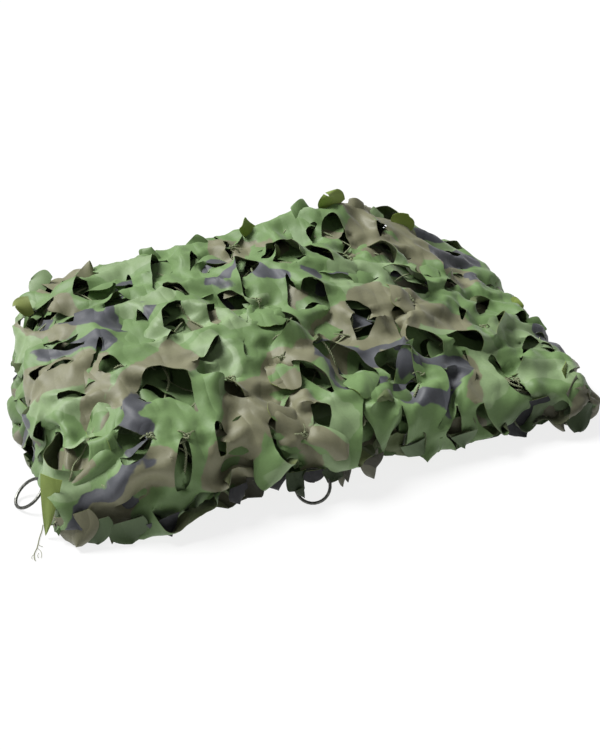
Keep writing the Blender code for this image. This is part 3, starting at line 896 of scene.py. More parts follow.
def make_skin():
    cuts = more_openings(OPENINGS, 5)
    lines, gaps = [], []
    for row in cuts:
        line, inner = arc(row, GATHER, STEP * 0.8)[:2]
        lines += [line, inner]
        gaps.append(np.concatenate([line, inner[::-1][1:-1]]))
    b0 = border(lambda p: hem(p, 0) - FRONT_DROP(p), GATHER)
    b1 = border(lambda p: hem(p, 1) + 0.004 + 0.010 * np.abs(np.sin(math.pi * p / 0.047 + 0.8)) ** 0.6, GATHER)
    keep0 = p_line > LEFT_X - 0.004
    b0, b1 = resample_plain(b0[keep0], STEP * 0.9), resample_plain(b1[keep0], STEP * 0.9)
    flat, tri = flat_cloth(skin_inside, ((-0.13 * GATHER, 0.69 * GATHER), (-0.27 * GATHER, 0.32 * GATHER)),
                           lines, gaps, [b0, b1], STEP, 3)
    tick("flat skin: %d points, %d triangles" % (len(flat), len(tri)))
    cloth = Cloth(flat, tri, GATHER, 1)
    a, b = flat[:, 0], flat[:, 1]
    h, force, own = shape_openings(cuts, flat, GATHER, STEP * 0.8)
    cloth.rest = np.linalg.norm(own[cloth.i] - own[cloth.j], axis=1)
    cloth.x = bilinear(GRID, own[:, 0] / GATHER, own[:, 1] / GATHER)
    folds = 1 - 2 * np.abs(noise2(a, b, 0.100, 14) * 1.3)
    low = np.minimum(-0.005 + 0.007 * folds, 1.1 * h - 0.002)
    h += 0.008 * folds + 0.004 * noise2(a, b, 0.060, 11) + 0.002
    force += 4.0 * folds + 2.0 * noise2(a, b, 0.060, 12)
    # the cloth lies closer to the heap low down at the front and at the left end
    p, s = cloth.p0, cloth.s0
    near_hem = np.clip(1 - (s - hem(p, 0)) / 0.042, 0, 1)
    near_left = np.clip((0.020 - p) / 0.030, 0, 1)
    close = np.maximum(near_hem, near_left)
    cloth.high = 0.022 - 0.015 * close
    low = low - 0.004 * close
    h = h * (1 - 0.5 * close) - 0.003 * close
    low = low + 0.009 * np.exp(-((p - 0.035) / 0.040) ** 2 - ((s - 0.150) / 0.050) ** 2)
    cloth.lift(h)
    cloth.tie(make_ties(cloth, 0.085, 7), -0.007)
    # the hems are held where the fold turns under
    high = (RAISED(p) > 0.3) & ((p > 0.340) | (p < 0.175)) & (s < hem(p, 0) - FRONT_DROP(p) + 0.005)
    held = np.flatnonzero(cloth.rim & ((s < hem(p, 0) + 0.004) | high | (p < LEFT_X - 0.045)))
    cloth.tie(held[::2], -0.002)
    cloth.run(110, low, force, bend=0.45, inner=10)
    cloth.settle(70, low)
    # the stiff thin cloth breaks into flat panels, and draws in at the ties
    h, n = cloth.heights()
    a, b = flat[:, 0], flat[:, 1]
    crisp = (0.0024 * (0.5 - np.abs(noise2(a, b, 0.062, 91) * 1.7)) + 0.0004 * (0.5 - np.abs(noise2(a, b, 0.036, 92) * 1.7)))
    for number, (kp, ks) in enumerate(KNOTS):
        u, v = cloth.p - kp, cloth.s - ks
        r, turn = np.hypot(u, v), np.arctan2(v, u)
        crisp += 0.0022 * np.abs(np.sin(2.5 * turn + number)) * (r / 0.012) * np.exp(1 - r / 0.012) - 0.003 * np.exp(-(r / 0.007) ** 2)
    cloth.x += n * crisp[:, None]
    cloth.x[:, 2] = np.maximum(cloth.x[:, 2], 0.0012)
    cloth.x[:, 2] = np.minimum(cloth.x[:, 2], 0.1775)
    tick("skin settled")
    return cloth, cuts


def make_ties(cloth, pitch, seed):
    """Points of the cloth nearest to a staggered, uneven net of ties."""
    rng = np.random.default_rng(seed)
    lo, hi = cloth.flat.min(axis=0), cloth.flat.max(axis=0)
    found = []
    r = 0
    b = lo[1]
    while b < hi[1]:
        a = lo[0] + (0.5 * pitch if r % 2 else 0.0)
        while a < hi[0]:
            q = np.array((a + rng.uniform(-0.2, 0.2) * pitch, b + rng.uniform(-0.2, 0.2) * pitch))
            d = ((cloth.flat - q) ** 2).sum(axis=1)
            k = int(d.argmin())
            if d[k] < 0.006**2:
                found.append(k)
            a += pitch
        b += pitch * 0.86
        r += 1
    return np.array(sorted(set(found)), int)


def resample_plain(line, step):
    run = np.r_[0, np.cumsum(np.linalg.norm(np.diff(line, axis=0), axis=1))]
    n = max(2, int(round(run[-1] / step)) + 1)
    t = np.linspace(0, run[-1], n)
    return np.stack([np.interp(t, run, line[:, 0]), np.interp(t, run, line[:, 1])], 1)


def cloth_object(name, cloth, thick=0.0005):
    mesh = bpy.data.meshes.new(name)
    mesh.from_pydata([tuple(v) for v in cloth.x], [], [tuple(t) for t in cloth.tri.tolist()])
    uv = mesh.uv_layers.new(name="weave")
    loops = np.empty(len(mesh.loops), int)
    mesh.loops.foreach_get("vertex_index", loops)
    uv.data.foreach_set("uv", cloth.flat[loops].astype(np.float32).ravel())
    obj = bpy.data.objects.new(name, mesh)
    bpy.context.scene.collection.objects.link(obj)
    mesh.shade_smooth()
    return obj


# ------------------------------------------------------------------ the printed colours
# Blobs of a common woodland kind, placed one by one: two ends (p, s), half width and
# colour. Everything else is mid green or comes from the seed.
BLOBS = (
    ( 0.025, -0.020,  0.085, -0.045, 0.026, "brown"),
    ( 0.060,  0.085,  0.080,  0.025, 0.018, "brown"),
    ( 0.070,  0.140,  0.120,  0.175, 0.014, "brown"),
    ( 0.060, -0.110,  0.100, -0.050, 0.009, "brown"),
    ( 0.160, -0.060,  0.080, -0.115, 0.017, "brown"),
    ( 0.105, -0.190,  0.040, -0.210, 0.022, "brown"),
    ( 0.040, -0.215,  0.025, -0.250, 0.026, "brown"),
    ( 0.220, -0.135,  0.165, -0.200, 0.024, "brown"),
    ( 0.235, -0.170,  0.260, -0.180, 0.017, "brown"),
    ( 0.245, -0.150,  0.270, -0.140, 0.018, "brown"),
    ( 0.225, -0.125,  0.270, -0.085, 0.012, "brown"),
    ( 0.250, -0.090,  0.300, -0.075, 0.011, "brown"),
    ( 0.330, -0.060,  0.365, -0.040, 0.019, "brown"),
    ( 0.395, -0.020,  0.375, -0.080, 0.024, "brown"),
    ( 0.440, -0.020,  0.415, -0.075, 0.018, "brown"),
    ( 0.450, -0.045,  0.485, -0.055, 0.016, "brown"),
    ( 0.440,  0.130,  0.465,  0.135, 0.021, "brown"),
    ( 0.470,  0.115,  0.500,  0.140, 0.013, "brown"),
    ( 0.430,  0.095,  0.465,  0.055, 0.026, "brown"),
    ( 0.495,  0.095,  0.515,  0.065, 0.026, "brown"),
    ( 0.520,  0.040,  0.540,  0.050, 0.019, "brown"),
    ( 0.280,  0.135,  0.275,  0.085, 0.014, "brown"),
    ( 0.300,  0.125,  0.315,  0.110, 0.014, "brown"),
    ( 0.270, -0.205,  0.300, -0.235, 0.012, "brown"),
    ( 0.300, -0.250,  0.295, -0.250, 0.008, "brown"),
    ( 0.320, -0.255,  0.340, -0.255, 0.008, "brown"),
    ( 0.480, -0.115,  0.465, -0.160, 0.010, "brown"),
    ( 0.575, -0.200,  0.600, -0.185, 0.019, "brown"),
    ( 0.170, -0.205,  0.200, -0.235, 0.012, "brown"),
    ( 0.085, -0.280,  0.110, -0.275, 0.015, "brown"),
    (-0.020, -0.040, -0.015, -0.060, 0.008, "brown"),
    ( 0.160, -0.045,  0.165, -0.075, 0.014, "brown"),
    ( 0.555,  0.135,  0.565,  0.140, 0.008, "brown"),
    ( 0.595, -0.100,  0.600, -0.120, 0.010, "brown"),
    ( 0.090,  0.040,  0.120,  0.005, 0.012, "dark"),
    ( 0.125,  0.040,  0.120,  0.005, 0.006, "dark"),
    ( 0.120,  0.000,  0.160,  0.020, 0.008, "dark"),
    ( 0.060,  0.005,  0.110, -0.020, 0.009, "dark"),
    ( 0.110, -0.115,  0.090, -0.135, 0.012, "dark"),
    ( 0.095, -0.135,  0.095, -0.180, 0.012, "dark"),
    ( 0.090, -0.185,  0.045, -0.185, 0.009, "dark"),
    ( 0.040, -0.190,  0.015, -0.200, 0.008, "dark"),
    ( 0.240,  0.040,  0.260,  0.055, 0.013, "dark"),
    ( 0.295,  0.040,  0.315,  0.025, 0.008, "dark"),
    ( 0.280,  0.060,  0.295,  0.040, 0.011, "dark"),
    ( 0.305, -0.080,  0.320, -0.110, 0.006, "dark"),
    ( 0.320, -0.115,  0.360, -0.115, 0.007, "dark"),
    ( 0.320, -0.080,  0.350, -0.075, 0.006, "dark"),
    ( 0.350, -0.080,  0.370, -0.095, 0.006, "dark"),
    ( 0.370, -0.085,  0.420, -0.095, 0.006, "dark"),
    ( 0.420, -0.100,  0.465, -0.115, 0.011, "dark"),
    ( 0.460, -0.120,  0.425, -0.160, 0.012, "dark"),
    ( 0.380, -0.125,  0.420, -0.150, 0.010, "dark"),
    ( 0.515,  0.115,  0.565,  0.140, 0.008, "dark"),
    ( 0.520,  0.080,  0.565,  0.095, 0.015, "dark"),
    ( 0.550,  0.050,  0.560,  0.045, 0.010, "dark"),
    ( 0.585, -0.060,  0.600, -0.075, 0.015, "dark"),
    ( 0.135, -0.275,  0.160, -0.260, 0.009, "dark"),
    (-0.010, -0.020,  0.000, -0.050, 0.008, "dark"),
    ( 0.500, -0.210,  0.560, -0.220, 0.008, "dark"),
    ( 0.340,  0.035,  0.350,  0.020, 0.006, "dark"),
    ( 0.035,  0.110,  0.045,  0.030, 0.015, "pale"),
    ( 0.020, -0.140,  0.040, -0.170, 0.011, "pale"),
    ( 0.140,  0.120,  0.180,  0.120, 0.017, "pale"),
    ( 0.160, -0.030,  0.200,  0.000, 0.019, "pale"),
    ( 0.195, -0.060,  0.200, -0.100, 0.018, "pale"),
    ( 0.140,  0.035,  0.180,  0.035, 0.011, "pale"),
    ( 0.375,  0.035,  0.380, -0.005, 0.014, "pale"),
    ( 0.380,  0.000,  0.435,  0.000, 0.013, "pale"),
    ( 0.420, -0.075,  0.475, -0.060, 0.010, "pale"),
    ( 0.475, -0.065,  0.500, -0.095, 0.012, "pale"),
    ( 0.500, -0.095,  0.480, -0.160, 0.010, "pale"),
    ( 0.260,  0.010,  0.275,  0.000, 0.009, "pale"),
    ( 0.295, -0.150,  0.265, -0.175, 0.019, "pale"),
    ( 0.280, -0.195,  0.305, -0.210, 0.017, "pale"),
    ( 0.535, -0.145,  0.570, -0.135, 0.014, "pale"),
    ( 0.525, -0.180,  0.555, -0.180, 0.011, "pale"),
    ( 0.400,  0.035,  0.425,  0.025, 0.014, "pale"),
    ( 0.535, -0.065,  0.565, -0.080, 0.023, "pale"),
    ( 0.075, -0.100,  0.035, -0.050, 0.023, "pale"),
    ( 0.195, -0.125,  0.215, -0.130, 0.009, "pale"),
    ( 0.220, -0.210,  0.240, -0.200, 0.009, "pale"),
    ( 0.215,  0.000,  0.235, -0.020, 0.022, "pale"),
    ( 0.540,  0.120,  0.550,  0.105, 0.017, "pale"),
    ( 0.580, -0.135,  0.585, -0.155, 0.012, "pale"),
)


def camo(flat, g, blobs, seed):
    """Three fields over the flat cloth, above 0.5 where that colour is printed."""
    a, b = flat[:, 0] / g, flat[:, 1] / g
    wa = 0.0052 * noise2(a, b, 0.052, seed + 1, 3)
    wb = 0.0052 * noise2(a, b, 0.052, seed + 2, 3)
    fields = {"brown": np.full(len(a), -9.0), "dark": np.full(len(a), -9.0), "pale": np.full(len(a), -9.0)}
    for p0, s0, p1, s1, half, name in blobs:
        u, v = p1 - p0, s1 - s0
        t = np.clip(((a + wa - p0) * u + (b + wb - s0) * v) / max(u * u + v * v, 1e-9), 0, 1)
        gap = np.hypot(a + wa - p0 - t * u, b + wb - s0 - t * v)
        fields[name] = np.maximum(fields[name], half * {"brown": 0.93, "dark": 0.88, "pale": 1.0}[name] - gap)
    out = np.stack([fields["brown"], fields["dark"], fields["pale"]], 1)
    return np.clip(0.5 + out / 0.04, 0, 1)


def random_blobs(p0, p1, s0, s1, seed, known=(), pitch=0.075):
    rng = np.random.default_rng(seed)
    rows = []
    s = s0
    while s < s1:
        p = p0
        while p < p1:
            q = (p + rng.uniform(-0.03, 0.03), s + rng.uniform(-0.03, 0.03))
            near = min([math.hypot(q[0] - 0.5 * (k[0] + k[2]), q[1] - 0.5 * (k[1] + k[3])) for k in known] or [9])
            unseen = not known or q[1] > 0.155 or q[1] < -0.285 or q[0] < -0.05 or q[0] > 0.62
            if unseen and near > 0.042:
                name = ("brown", "dark", "brown", "brown", "pale")[int(rng.integers(0, 5))]
                long, ang = float(rng.uniform(0.012, 0.036)), float(rng.uniform(-1.1, 1.1))
                half = float(rng.uniform(0.010, 0.019)) * (0.8 if name == "dark" else 1.0)
                u, v = long * math.cos(ang), long * math.sin(ang)
                rows.append((q[0] - u, q[1] - v, q[0] + u, q[1] + v, half, name))
            p += pitch
        s += pitch * 0.8
    return rows


def add_camo(obj, fields):
    att = obj.data.attributes.new("camo", "FLOAT_VECTOR", "POINT")
    att.data.foreach_set("vector", fields.astype(np.float32).ravel())


class Nodes:
    """A short way to write a node material."""

    def __init__(self, name):
        self.mat = bpy.data.materials.new(name)
        self.mat.use_nodes = True
        self.tree = self.mat.node_tree
        self.bsdf = self.tree.nodes["Principled BSDF"]

    def add(self, kind, **facts):
        n = self.tree.nodes.new(kind)
        for k, v in facts.items():
            setattr(n, k, v)
        return n

    def link(self, a, b):
        self.tree.links.new(a, b)

    def math(self, op, a, b=None, clamp=False):
        n = self.add("ShaderNodeMath", operation=op, use_clamp=clamp)
        for k, v in enumerate((a, b)):
            if v is None:
                continue
            if isinstance(v, (int, float)):
                n.inputs[k].default_value = v
            else:
                self.link(v, n.inputs[k])
        return n.outputs[0]

    def step(self, value, low, high):
        n = self.add("ShaderNodeMapRange", interpolation_type="SMOOTHSTEP")
        self.link(value, n.inputs[0])
        n.inputs[1].default_value, n.inputs[2].default_value = low, high
        return n.outputs[0]

    def mix(self, fac, a, b, blend="MIX"):
        n = self.add("ShaderNodeMix", data_type="RGBA", blend_type=blend)
        ins = [i for i in n.inputs if i.type == "RGBA"]
        fac_in = [i for i in n.inputs if i.type == "VALUE"][0]
        if isinstance(fac, (int, float)):
            fac_in.default_value = fac
        else:
            self.link(fac, fac_in)
        for socket, v in zip(ins, (a, b)):
            if isinstance(v, tuple):
                socket.default_value = (*v, 1.0)
            else:
                self.link(v, socket)
        return [o for o in n.outputs if o.type == "RGBA"][0]

    def noise(self, vector, scale, detail=2.0, rough=0.5, distort=0.0):
        n = self.add("ShaderNodeTexNoise")
        self.link(vector, n.inputs["Vector"])
        n.inputs["Scale"].default_value = scale
        n.inputs["Detail"].default_value = detail
        n.inputs["Roughness"].default_value = rough
        n.inputs["Distortion"].default_value = distort
        return n


MID, PALE = (0.167, 0.281, 0.095), (0.248, 0.358, 0.166)
BROWN, DARK = (0.222, 0.218, 0.126), (0.078, 0.083, 0.096)


def cloth_material(name, reverse=False, shade=1.0, warm=1.0, olive=(0.100, 0.135, 0.042)):
    m = Nodes(name)
    att = m.add("ShaderNodeAttribute", attribute_name="camo")
    uv = m.add("ShaderNodeUVMap", uv_map="weave")
    sep = m.add("ShaderNodeSeparateXYZ")
    m.link(att.outputs["Vector"], sep.inputs[0])
    wob = m.noise(uv.outputs[0], 160.0, 3.0)
    w = m.math("MULTIPLY", m.math("SUBTRACT", wob.outputs[0], 0.5), 0.06)

    def mask(i):
        return m.step(m.math("ADD", sep.outputs[i], w), 0.475, 0.525)

    def tint(rgb):
        return tuple(c * shade * k for c, k in zip(rgb, (warm, warm, 1.0)))

    if reverse:
        base = m.mix(m.math("MULTIPLY", mask(0), 0.45), tint(olive), tint((0.110, 0.105, 0.035)))
        base = m.mix(m.math("MULTIPLY", mask(1), 0.55), base, tint((0.060, 0.070, 0.030)))
        base = m.mix(m.math("MULTIPLY", mask(2), 0.35), base, tint((0.230, 0.270, 0.080)))
    else:
        base = m.mix(mask(2), tint(MID), tint(PALE))
        base = m.mix(mask(0), base, tint(BROWN))
        base = m.mix(mask(1), base, tint(DARK))
    # ink and coating vary a little over the cloth
    big = m.noise(uv.outputs[0], 14.0, 3.0)
    fine = m.noise(uv.outputs[0], 420.0, 2.0)
    vary = m.math("ADD", m.math("MULTIPLY", big.outputs[0], 0.30), m.math("MULTIPLY", fine.outputs[0], 0.20))
    # painted shade: the cloth is painted darker low down, towards the floor
    geo = m.add("ShaderNodeNewGeometry")
    place = m.add("ShaderNodeSeparateXYZ")
    m.link(geo.outputs["Position"], place.inputs[0])
    painted_shade = m.math("ADD", m.math("MULTIPLY", m.step(place.outputs[2], -0.010, 0.085), 0.36), 0.64)
    # painted shade: the hollow under the right front end is painted darkest
    hollow_shade = m.math("MULTIPLY", m.step(place.outputs[0], 0.190, 0.225), m.math("SUBTRACT", 1.0, m.step(place.outputs[2], 0.034, 0.056)))
    hollow_shade = m.math("MULTIPLY", hollow_shade, m.math("SUBTRACT", 1.0, m.step(place.outputs[1], -0.155, -0.125)))
    painted_shade = m.math("MULTIPLY", painted_shade, m.math("SUBTRACT", 1.0, m.math("MULTIPLY", hollow_shade, 0.42)))
    bright = m.math("MULTIPLY", m.math("ADD", vary, 0.75), painted_shade)
    hsv = m.add("ShaderNodeHueSaturation")
    m.link(base, hsv.inputs["Color"])
    m.link(bright, hsv.inputs["Value"])
    m.link(hsv.outputs[0], m.bsdf.inputs["Base Color"])
    # plain weave under the coating, and soft creases
    mapping = m.add("ShaderNodeMapping")
    mapping.inputs["Scale"].default_value = (1500.0, 1500.0, 1.0)
    m.link(uv.outputs[0], mapping.inputs["Vector"])
    sx = m.add("ShaderNodeSeparateXYZ")
    m.link(mapping.outputs[0], sx.inputs[0])
    wx = m.math("SINE", sx.outputs[0])
    wy = m.math("SINE", sx.outputs[1])
    weave = m.math("MULTIPLY", wx, wy)
    soft = m.noise(uv.outputs[0], 38.0, 2.0)
    pressed = m.add("ShaderNodeMapping")
    pressed.inputs["Rotation"].default_value = (0.0, 0.0, 0.6)
    pressed.inputs["Scale"].default_value = (1.0, 0.36, 1.0)
    m.link(uv.outputs[0], pressed.inputs["Vector"])
    folds = m.noise(pressed.outputs[0], 44.0, 1.0)
    ridge = m.math("ABSOLUTE", m.math("SUBTRACT", folds.outputs[0], 0.5), 0.0)
    height = m.math("ADD", m.math("MULTIPLY", soft.outputs[0], 0.15), m.math("MULTIPLY", ridge, 3.0))
    bump1 = m.add("ShaderNodeBump")
    bump1.inputs["Strength"].default_value = 0.8
    bump1.inputs["Distance"].default_value = 0.0020
    m.link(height, bump1.inputs["Height"])
    bump2 = m.add("ShaderNodeBump")
    bump2.inputs["Strength"].default_value = 0.10
    bump2.inputs["Distance"].default_value = 0.0001
    m.link(weave, bump2.inputs["Height"])
    m.link(bump1.outputs[0], bump2.inputs["Normal"])
    m.link(bump2.outputs[0], m.bsdf.inputs["Normal"])
    rough = m.math("ADD", m.math("MULTIPLY", big.outputs[0], 0.16), 0.49 if not reverse else 0.58)
    m.link(rough, m.bsdf.inputs["Roughness"])
    m.bsdf.inputs["Specular IOR Level"].default_value = 0.50
    m.bsdf.inputs["Sheen Weight"].default_value = 0.16
    m.bsdf.inputs["Sheen Roughness"].default_value = 0.5
    return m.mat


def finish_cloth(obj, thick, front, back):
    """Real thickness, with the unprinted side of the cloth inside."""
    obj.data.materials.append(front)
    obj.data.materials.append(back)
    mod = obj.modifiers.new("thick", "SOLIDIFY")
    mod.thickness = thick
    mod.offset = 0.0
    mod.material_offset = 1
    mod.material_offset_rim = 1
    mod.use_rim = True
    bpy.context.view_layer.objects.active = obj
    for o in bpy.context.selected_objects:
        o.select_set(False)
    obj.select_set(True)
    bpy.ops.object.modifier_apply(modifier="thick")
    obj.data.set_sharp_from_angle(angle=math.radians(50))
    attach(obj, "root")


def report(name, cloth):
    ratio = np.linalg.norm(cloth.x[cloth.i] - cloth.x[cloth.j], axis=1) / cloth.rest
    h, _ = cloth.heights()
    print("%s STRETCH %s HEIGHT(mm) %s" % (name, np.round(np.percentile(ratio, (1, 10, 50, 90, 99)), 2),
                                          np.round(1000 * np.percentile(h, (1, 10, 50, 90, 99)), 1)))


def declare():
    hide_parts("net")


FRONT, BACK = cloth_material("net_print"), cloth_material("net_reverse", reverse=True)
# painted light: the reverse side's own olive, painted brighter and warmer as painted backlight shining through the thin
# cloth
BACK_LIT = cloth_material("net_reverse_lit", reverse=True, shade=1.20, warm=1.10, olive=(0.190, 0.260, 0.050))
# painted shade: copies of the print and reverse painted darker for the layers below and the hem lobes (the second
# layer's reverse keeps its own colour)
FRONT_LOW_SHADED, BACK_LOW = cloth_material("net_print_below_shaded", shade=0.94), cloth_material("net_reverse_below", reverse=True, shade=1.0)
FRONT_DEEP_SHADED, BACK_DEEP_SHADED = cloth_material("net_print_deep_shaded", shade=0.78), cloth_material("net_reverse_deep_shaded", reverse=True, shade=0.80)
FRONT_HEM_SHADED, BACK_HEM_SHADED = cloth_material("net_print_hem_shaded", shade=0.55), cloth_material("net_reverse_hem_shaded", reverse=True, shade=0.55)
# painted shade: the darkest copies, for the lobes under the front end
FRONT_DARKEST_SHADE, BACK_DARKEST_SHADE = cloth_material("net_print_darkest_shade", shade=0.34), cloth_material("net_reverse_darkest_shade", reverse=True, shade=0.34)


def make_under(depth, g, step, seed, p0, p1, deep_low, pitch, cut_seed, wide, floor_reach):
    """A layer of the folded net under another one: the same cloth and cuts, less
    worked out because only what shows through the gaps above is seen."""
    cuts = [c for c in more_cuts((), p0 + 0.02, p1 - 0.045, -0.30, 0.30, cut_seed, pitch, pitch * 0.82)
            if hem(c[0], 0) + 0.030 < c[1] < hem(c[0], 1) - 0.045]
    lines, gaps = cut_lines(cuts, g, step * 0.8, wide)

    def inside(pts, margin=0.0):
        p, s = pts[:, 0] / g, pts[:, 1] / g
        m = margin / g
        return ((s > hem(p, 0) - floor_reach(p) + m) & (s < hem(p, 1) + 0.010 - m)
                & (p > np.maximum(p0, LEFT_X + 0.004 - np.interp(np.clip(s, SS[0], SS[-1]), SS, LEFT_HIGH)) + m) & (p < p1 - m))

    line = np.arange(p0, p1, 0.0012)
    edge = np.stack([line * g, (hem(line, 0) - floor_reach(line)) * g], 1)
    flat, tri = flat_cloth(inside, (((p0 - 0.01) * g, (p1 + 0.01) * g), (-0.30 * g, 0.36 * g)), lines, gaps,
                           [resample_plain(edge, step * 0.9)], step, seed)
    cloth = Cloth(flat, tri, g, seed)
    a, b = flat[:, 0], flat[:, 1]
    h, force = shape_cuts(cuts, a, b, g, up=0.75)
    edge = np.minimum(cloth.s0 - hem(cloth.p0, 0), hem(cloth.p0, 1) - cloth.s0)
    depth = depth * (1 - 0.60 * np.clip(1 - edge / 0.035, 0, 1)) * (1 - 0.5 * np.clip((LEFT_X - 0.015 - cloth.p0) / 0.020, 0, 1))
    h = depth + h + 0.004 * noise2(a, b, 0.085, seed + 3)
    cloth.lift(h)
    for _ in range(14):
        cloth.stretch()
        cloth.bend(0.45)
        cloth.foot()
        hh, n = cloth.heights()
        cloth.x += n * (np.clip(hh, depth - 0.012, depth + 0.009) - hh)[:, None]
        cloth.x[:, 2] = np.maximum(cloth.x[:, 2], 0.0012)
    return cloth


def skin_top(cloth):
    """How high the skin stands over the heap's surface, as a lookup grid."""
    h, _ = cloth.heights()
    i = np.clip(np.rint((cloth.p - PS[0]) / DP).astype(int), 0, len(PS) - 1)
    j = np.clip(np.rint((cloth.s - SS[0]) / DS).astype(int), 0, len(SS) - 1)
    top = np.full((len(PS), len(SS)), -1.0)
    np.maximum.at(top, (i, j), h)
    known = top > -0.5
    top[~known] = -0.004
    weight = known.astype(float)
    value = np.where(known, top, 0.0)
    for _ in range(3):
        w2, v2 = weight.copy(), value.copy()
        for di, dj in ((1, 0), (-1, 0), (0, 1), (0, -1)):
            w2 += np.roll(weight, (di, dj), (0, 1))
            v2 += np.roll(value, (di, dj), (0, 1))
        weight, value = w2 / 5, v2 / 5
    return np.where(weight > 1e-6, value / np.maximum(weight, 1e-6), -0.004)[..., None]


skin, SKIN_CUTS = make_skin()
report("skin", skin)
SKIN_TOP = skin_top(skin)
skin_obj = cloth_object("net_skin", skin)
all_blobs = list(BLOBS) + random_blobs(-0.12, 0.70, -0.28, 0.34, 21, BLOBS)
add_camo(skin_obj, camo(skin.flat, GATHER, all_blobs, 40))
finish_cloth(skin_obj, 0.0006, FRONT, BACK)

under = make_under(-0.014, 1.05, 0.0066, 31, LEFT_X - 0.105, RIGHT_X + 0.078, 0.0, 0.052, 9, 1.25,
                   lambda p: 0.002 - 0.012 * RAISED(p))
report("under", under)
under_obj = cloth_object("net_layer_2", under)
add_camo(under_obj, camo(under.flat, 1.05, random_blobs(-0.12, 0.70, -0.30, 0.34, 33), 50))
# painted shade: this layer's print is painted a little darker
finish_cloth(under_obj, 0.0006, FRONT_LOW_SHADED, BACK_LOW)
declare()

deep = make_under(-0.030, 1.02, 0.0095, 61, LEFT_X - 0.095, RIGHT_X + 0.064, 0.0, 2.0, 17, 0.7,
                  lambda p: 0.030 + 0.006 * np.sin(p / 0.011) - 0.008 * RAISED(p) - 0.014 * np.clip((p - 0.30) / 0.05, 0, 1))
report("deep", deep)
deep_obj = cloth_object("net_layer_3", deep)
add_camo(deep_obj, camo(deep.flat, 1.02, random_blobs(-0.12, 0.70, -0.34, 0.34, 73), 70))
# painted shade: this deepest layer wears darker copies of print and reverse
finish_cloth(deep_obj, 0.0008, FRONT_DEEP_SHADED, BACK_DEEP_SHADED)
declare()
tick("layers below")

# ------------------------------------------------------------------ the cord mesh
def on_heap(p, s, height):
    p, s, height = np.atleast_1d(p).astype(float), np.atleast_1d(s).astype(float), np.atleast_1d(height).astype(float)
    n = bilinear(NORMAL, p, s)
    n /= np.maximum(np.linalg.norm(n, axis=1, keepdims=True), 1e-9)
    return bilinear(GRID, p, s) + n * height[:, None]


def even(path, step):
    path = np.asarray(path, float)
    run = np.r_[0, np.cumsum(np.linalg.norm(np.diff(path, axis=0), axis=1))]
    t = np.linspace(0, run[-1], max(3, int(run[-1] / step) + 1))
    return np.stack([smooth(run, path[:, k], t) for k in range(3)], 1), t


def tube(path, radius, sides, verts, faces, uvs):
    """Adds a closed tube along a path, with its ends drawn to a point."""
    tangent = np.gradient(path, axis=0)
    tangent /= np.maximum(np.linalg.norm(tangent, axis=1, keepdims=True), 1e-9)
    side = np.cross(tangent[0], (0.3, 0.2, 0.93))
    base = len(verts)
    run = 0.0
    for i, (c, t) in enumerate(zip(path, tangent)):
        side = side - t * np.dot(side, t)
        side /= max(np.linalg.norm(side), 1e-9)
        other = np.cross(t, side)
        r = radius * (0.35 if i in (0, len(path) - 1) else 1.0)
        run += 0.0 if i == 0 else float(np.linalg.norm(c - path[i - 1]))
        for k in range(sides):
            a = 2 * math.pi * k / sides
            verts.append(tuple(c + r * (math.cos(a) * side + math.sin(a) * other)))
            uvs.append((run, k / sides * 2 * math.pi * radius))
    n = len(path)
    for i in range(n - 1):
        for k in range(sides):
            a, b = base + i * sides + k, base + i * sides + (k + 1) % sides
            faces.append((a, b, b + sides, a + sides))
    faces.append(tuple(base + k for k in range(sides))[::-1])
    faces.append(tuple(base + (n - 1) * sides + k for k in range(sides)))


def two_ply(path, radius, pitch, verts, faces, uvs, phase=0.0):
    """A twisted cord of two plies along a path."""
    path, run = even(path, pitch / 9)
    tangent = np.gradient(path, axis=0)
    tangent /= np.maximum(np.linalg.norm(tangent, axis=1, keepdims=True), 1e-9)
    side = np.cross(tangent[0], (0.2, 0.1, 0.97))
    for ply in range(2):
        line = []
        axis = side.copy()
        for c, t, r in zip(path, tangent, run):
            axis = axis - t * np.dot(axis, t)
            axis /= max(np.linalg.norm(axis), 1e-9)
            other = np.cross(t, axis)
            a = 2 * math.pi * r / pitch + math.pi * ply + phase
            line.append(c + 0.52 * radius * (math.cos(a) * axis + math.sin(a) * other))
        tube(np.array(line), 0.56 * radius, 5, verts, faces, uvs)


def mesh_object(name, verts, faces, uvs, material):
    mesh = bpy.data.meshes.new(name)
    mesh.from_pydata(verts, [], faces)
    layer = mesh.uv_layers.new(name="weave")
    loops = np.empty(len(mesh.loops), int)
    mesh.loops.foreach_get("vertex_index", loops)
    layer.data.foreach_set("uv", np.array(uvs)[loops].astype(np.float32).ravel())
    obj = bpy.data.objects.new(name, mesh)
    bpy.context.scene.collection.objects.link(obj)
    mesh.shade_smooth()
    mesh.set_sharp_from_angle(angle=math.radians(60))
    mesh.materials.append(material)
    return obj


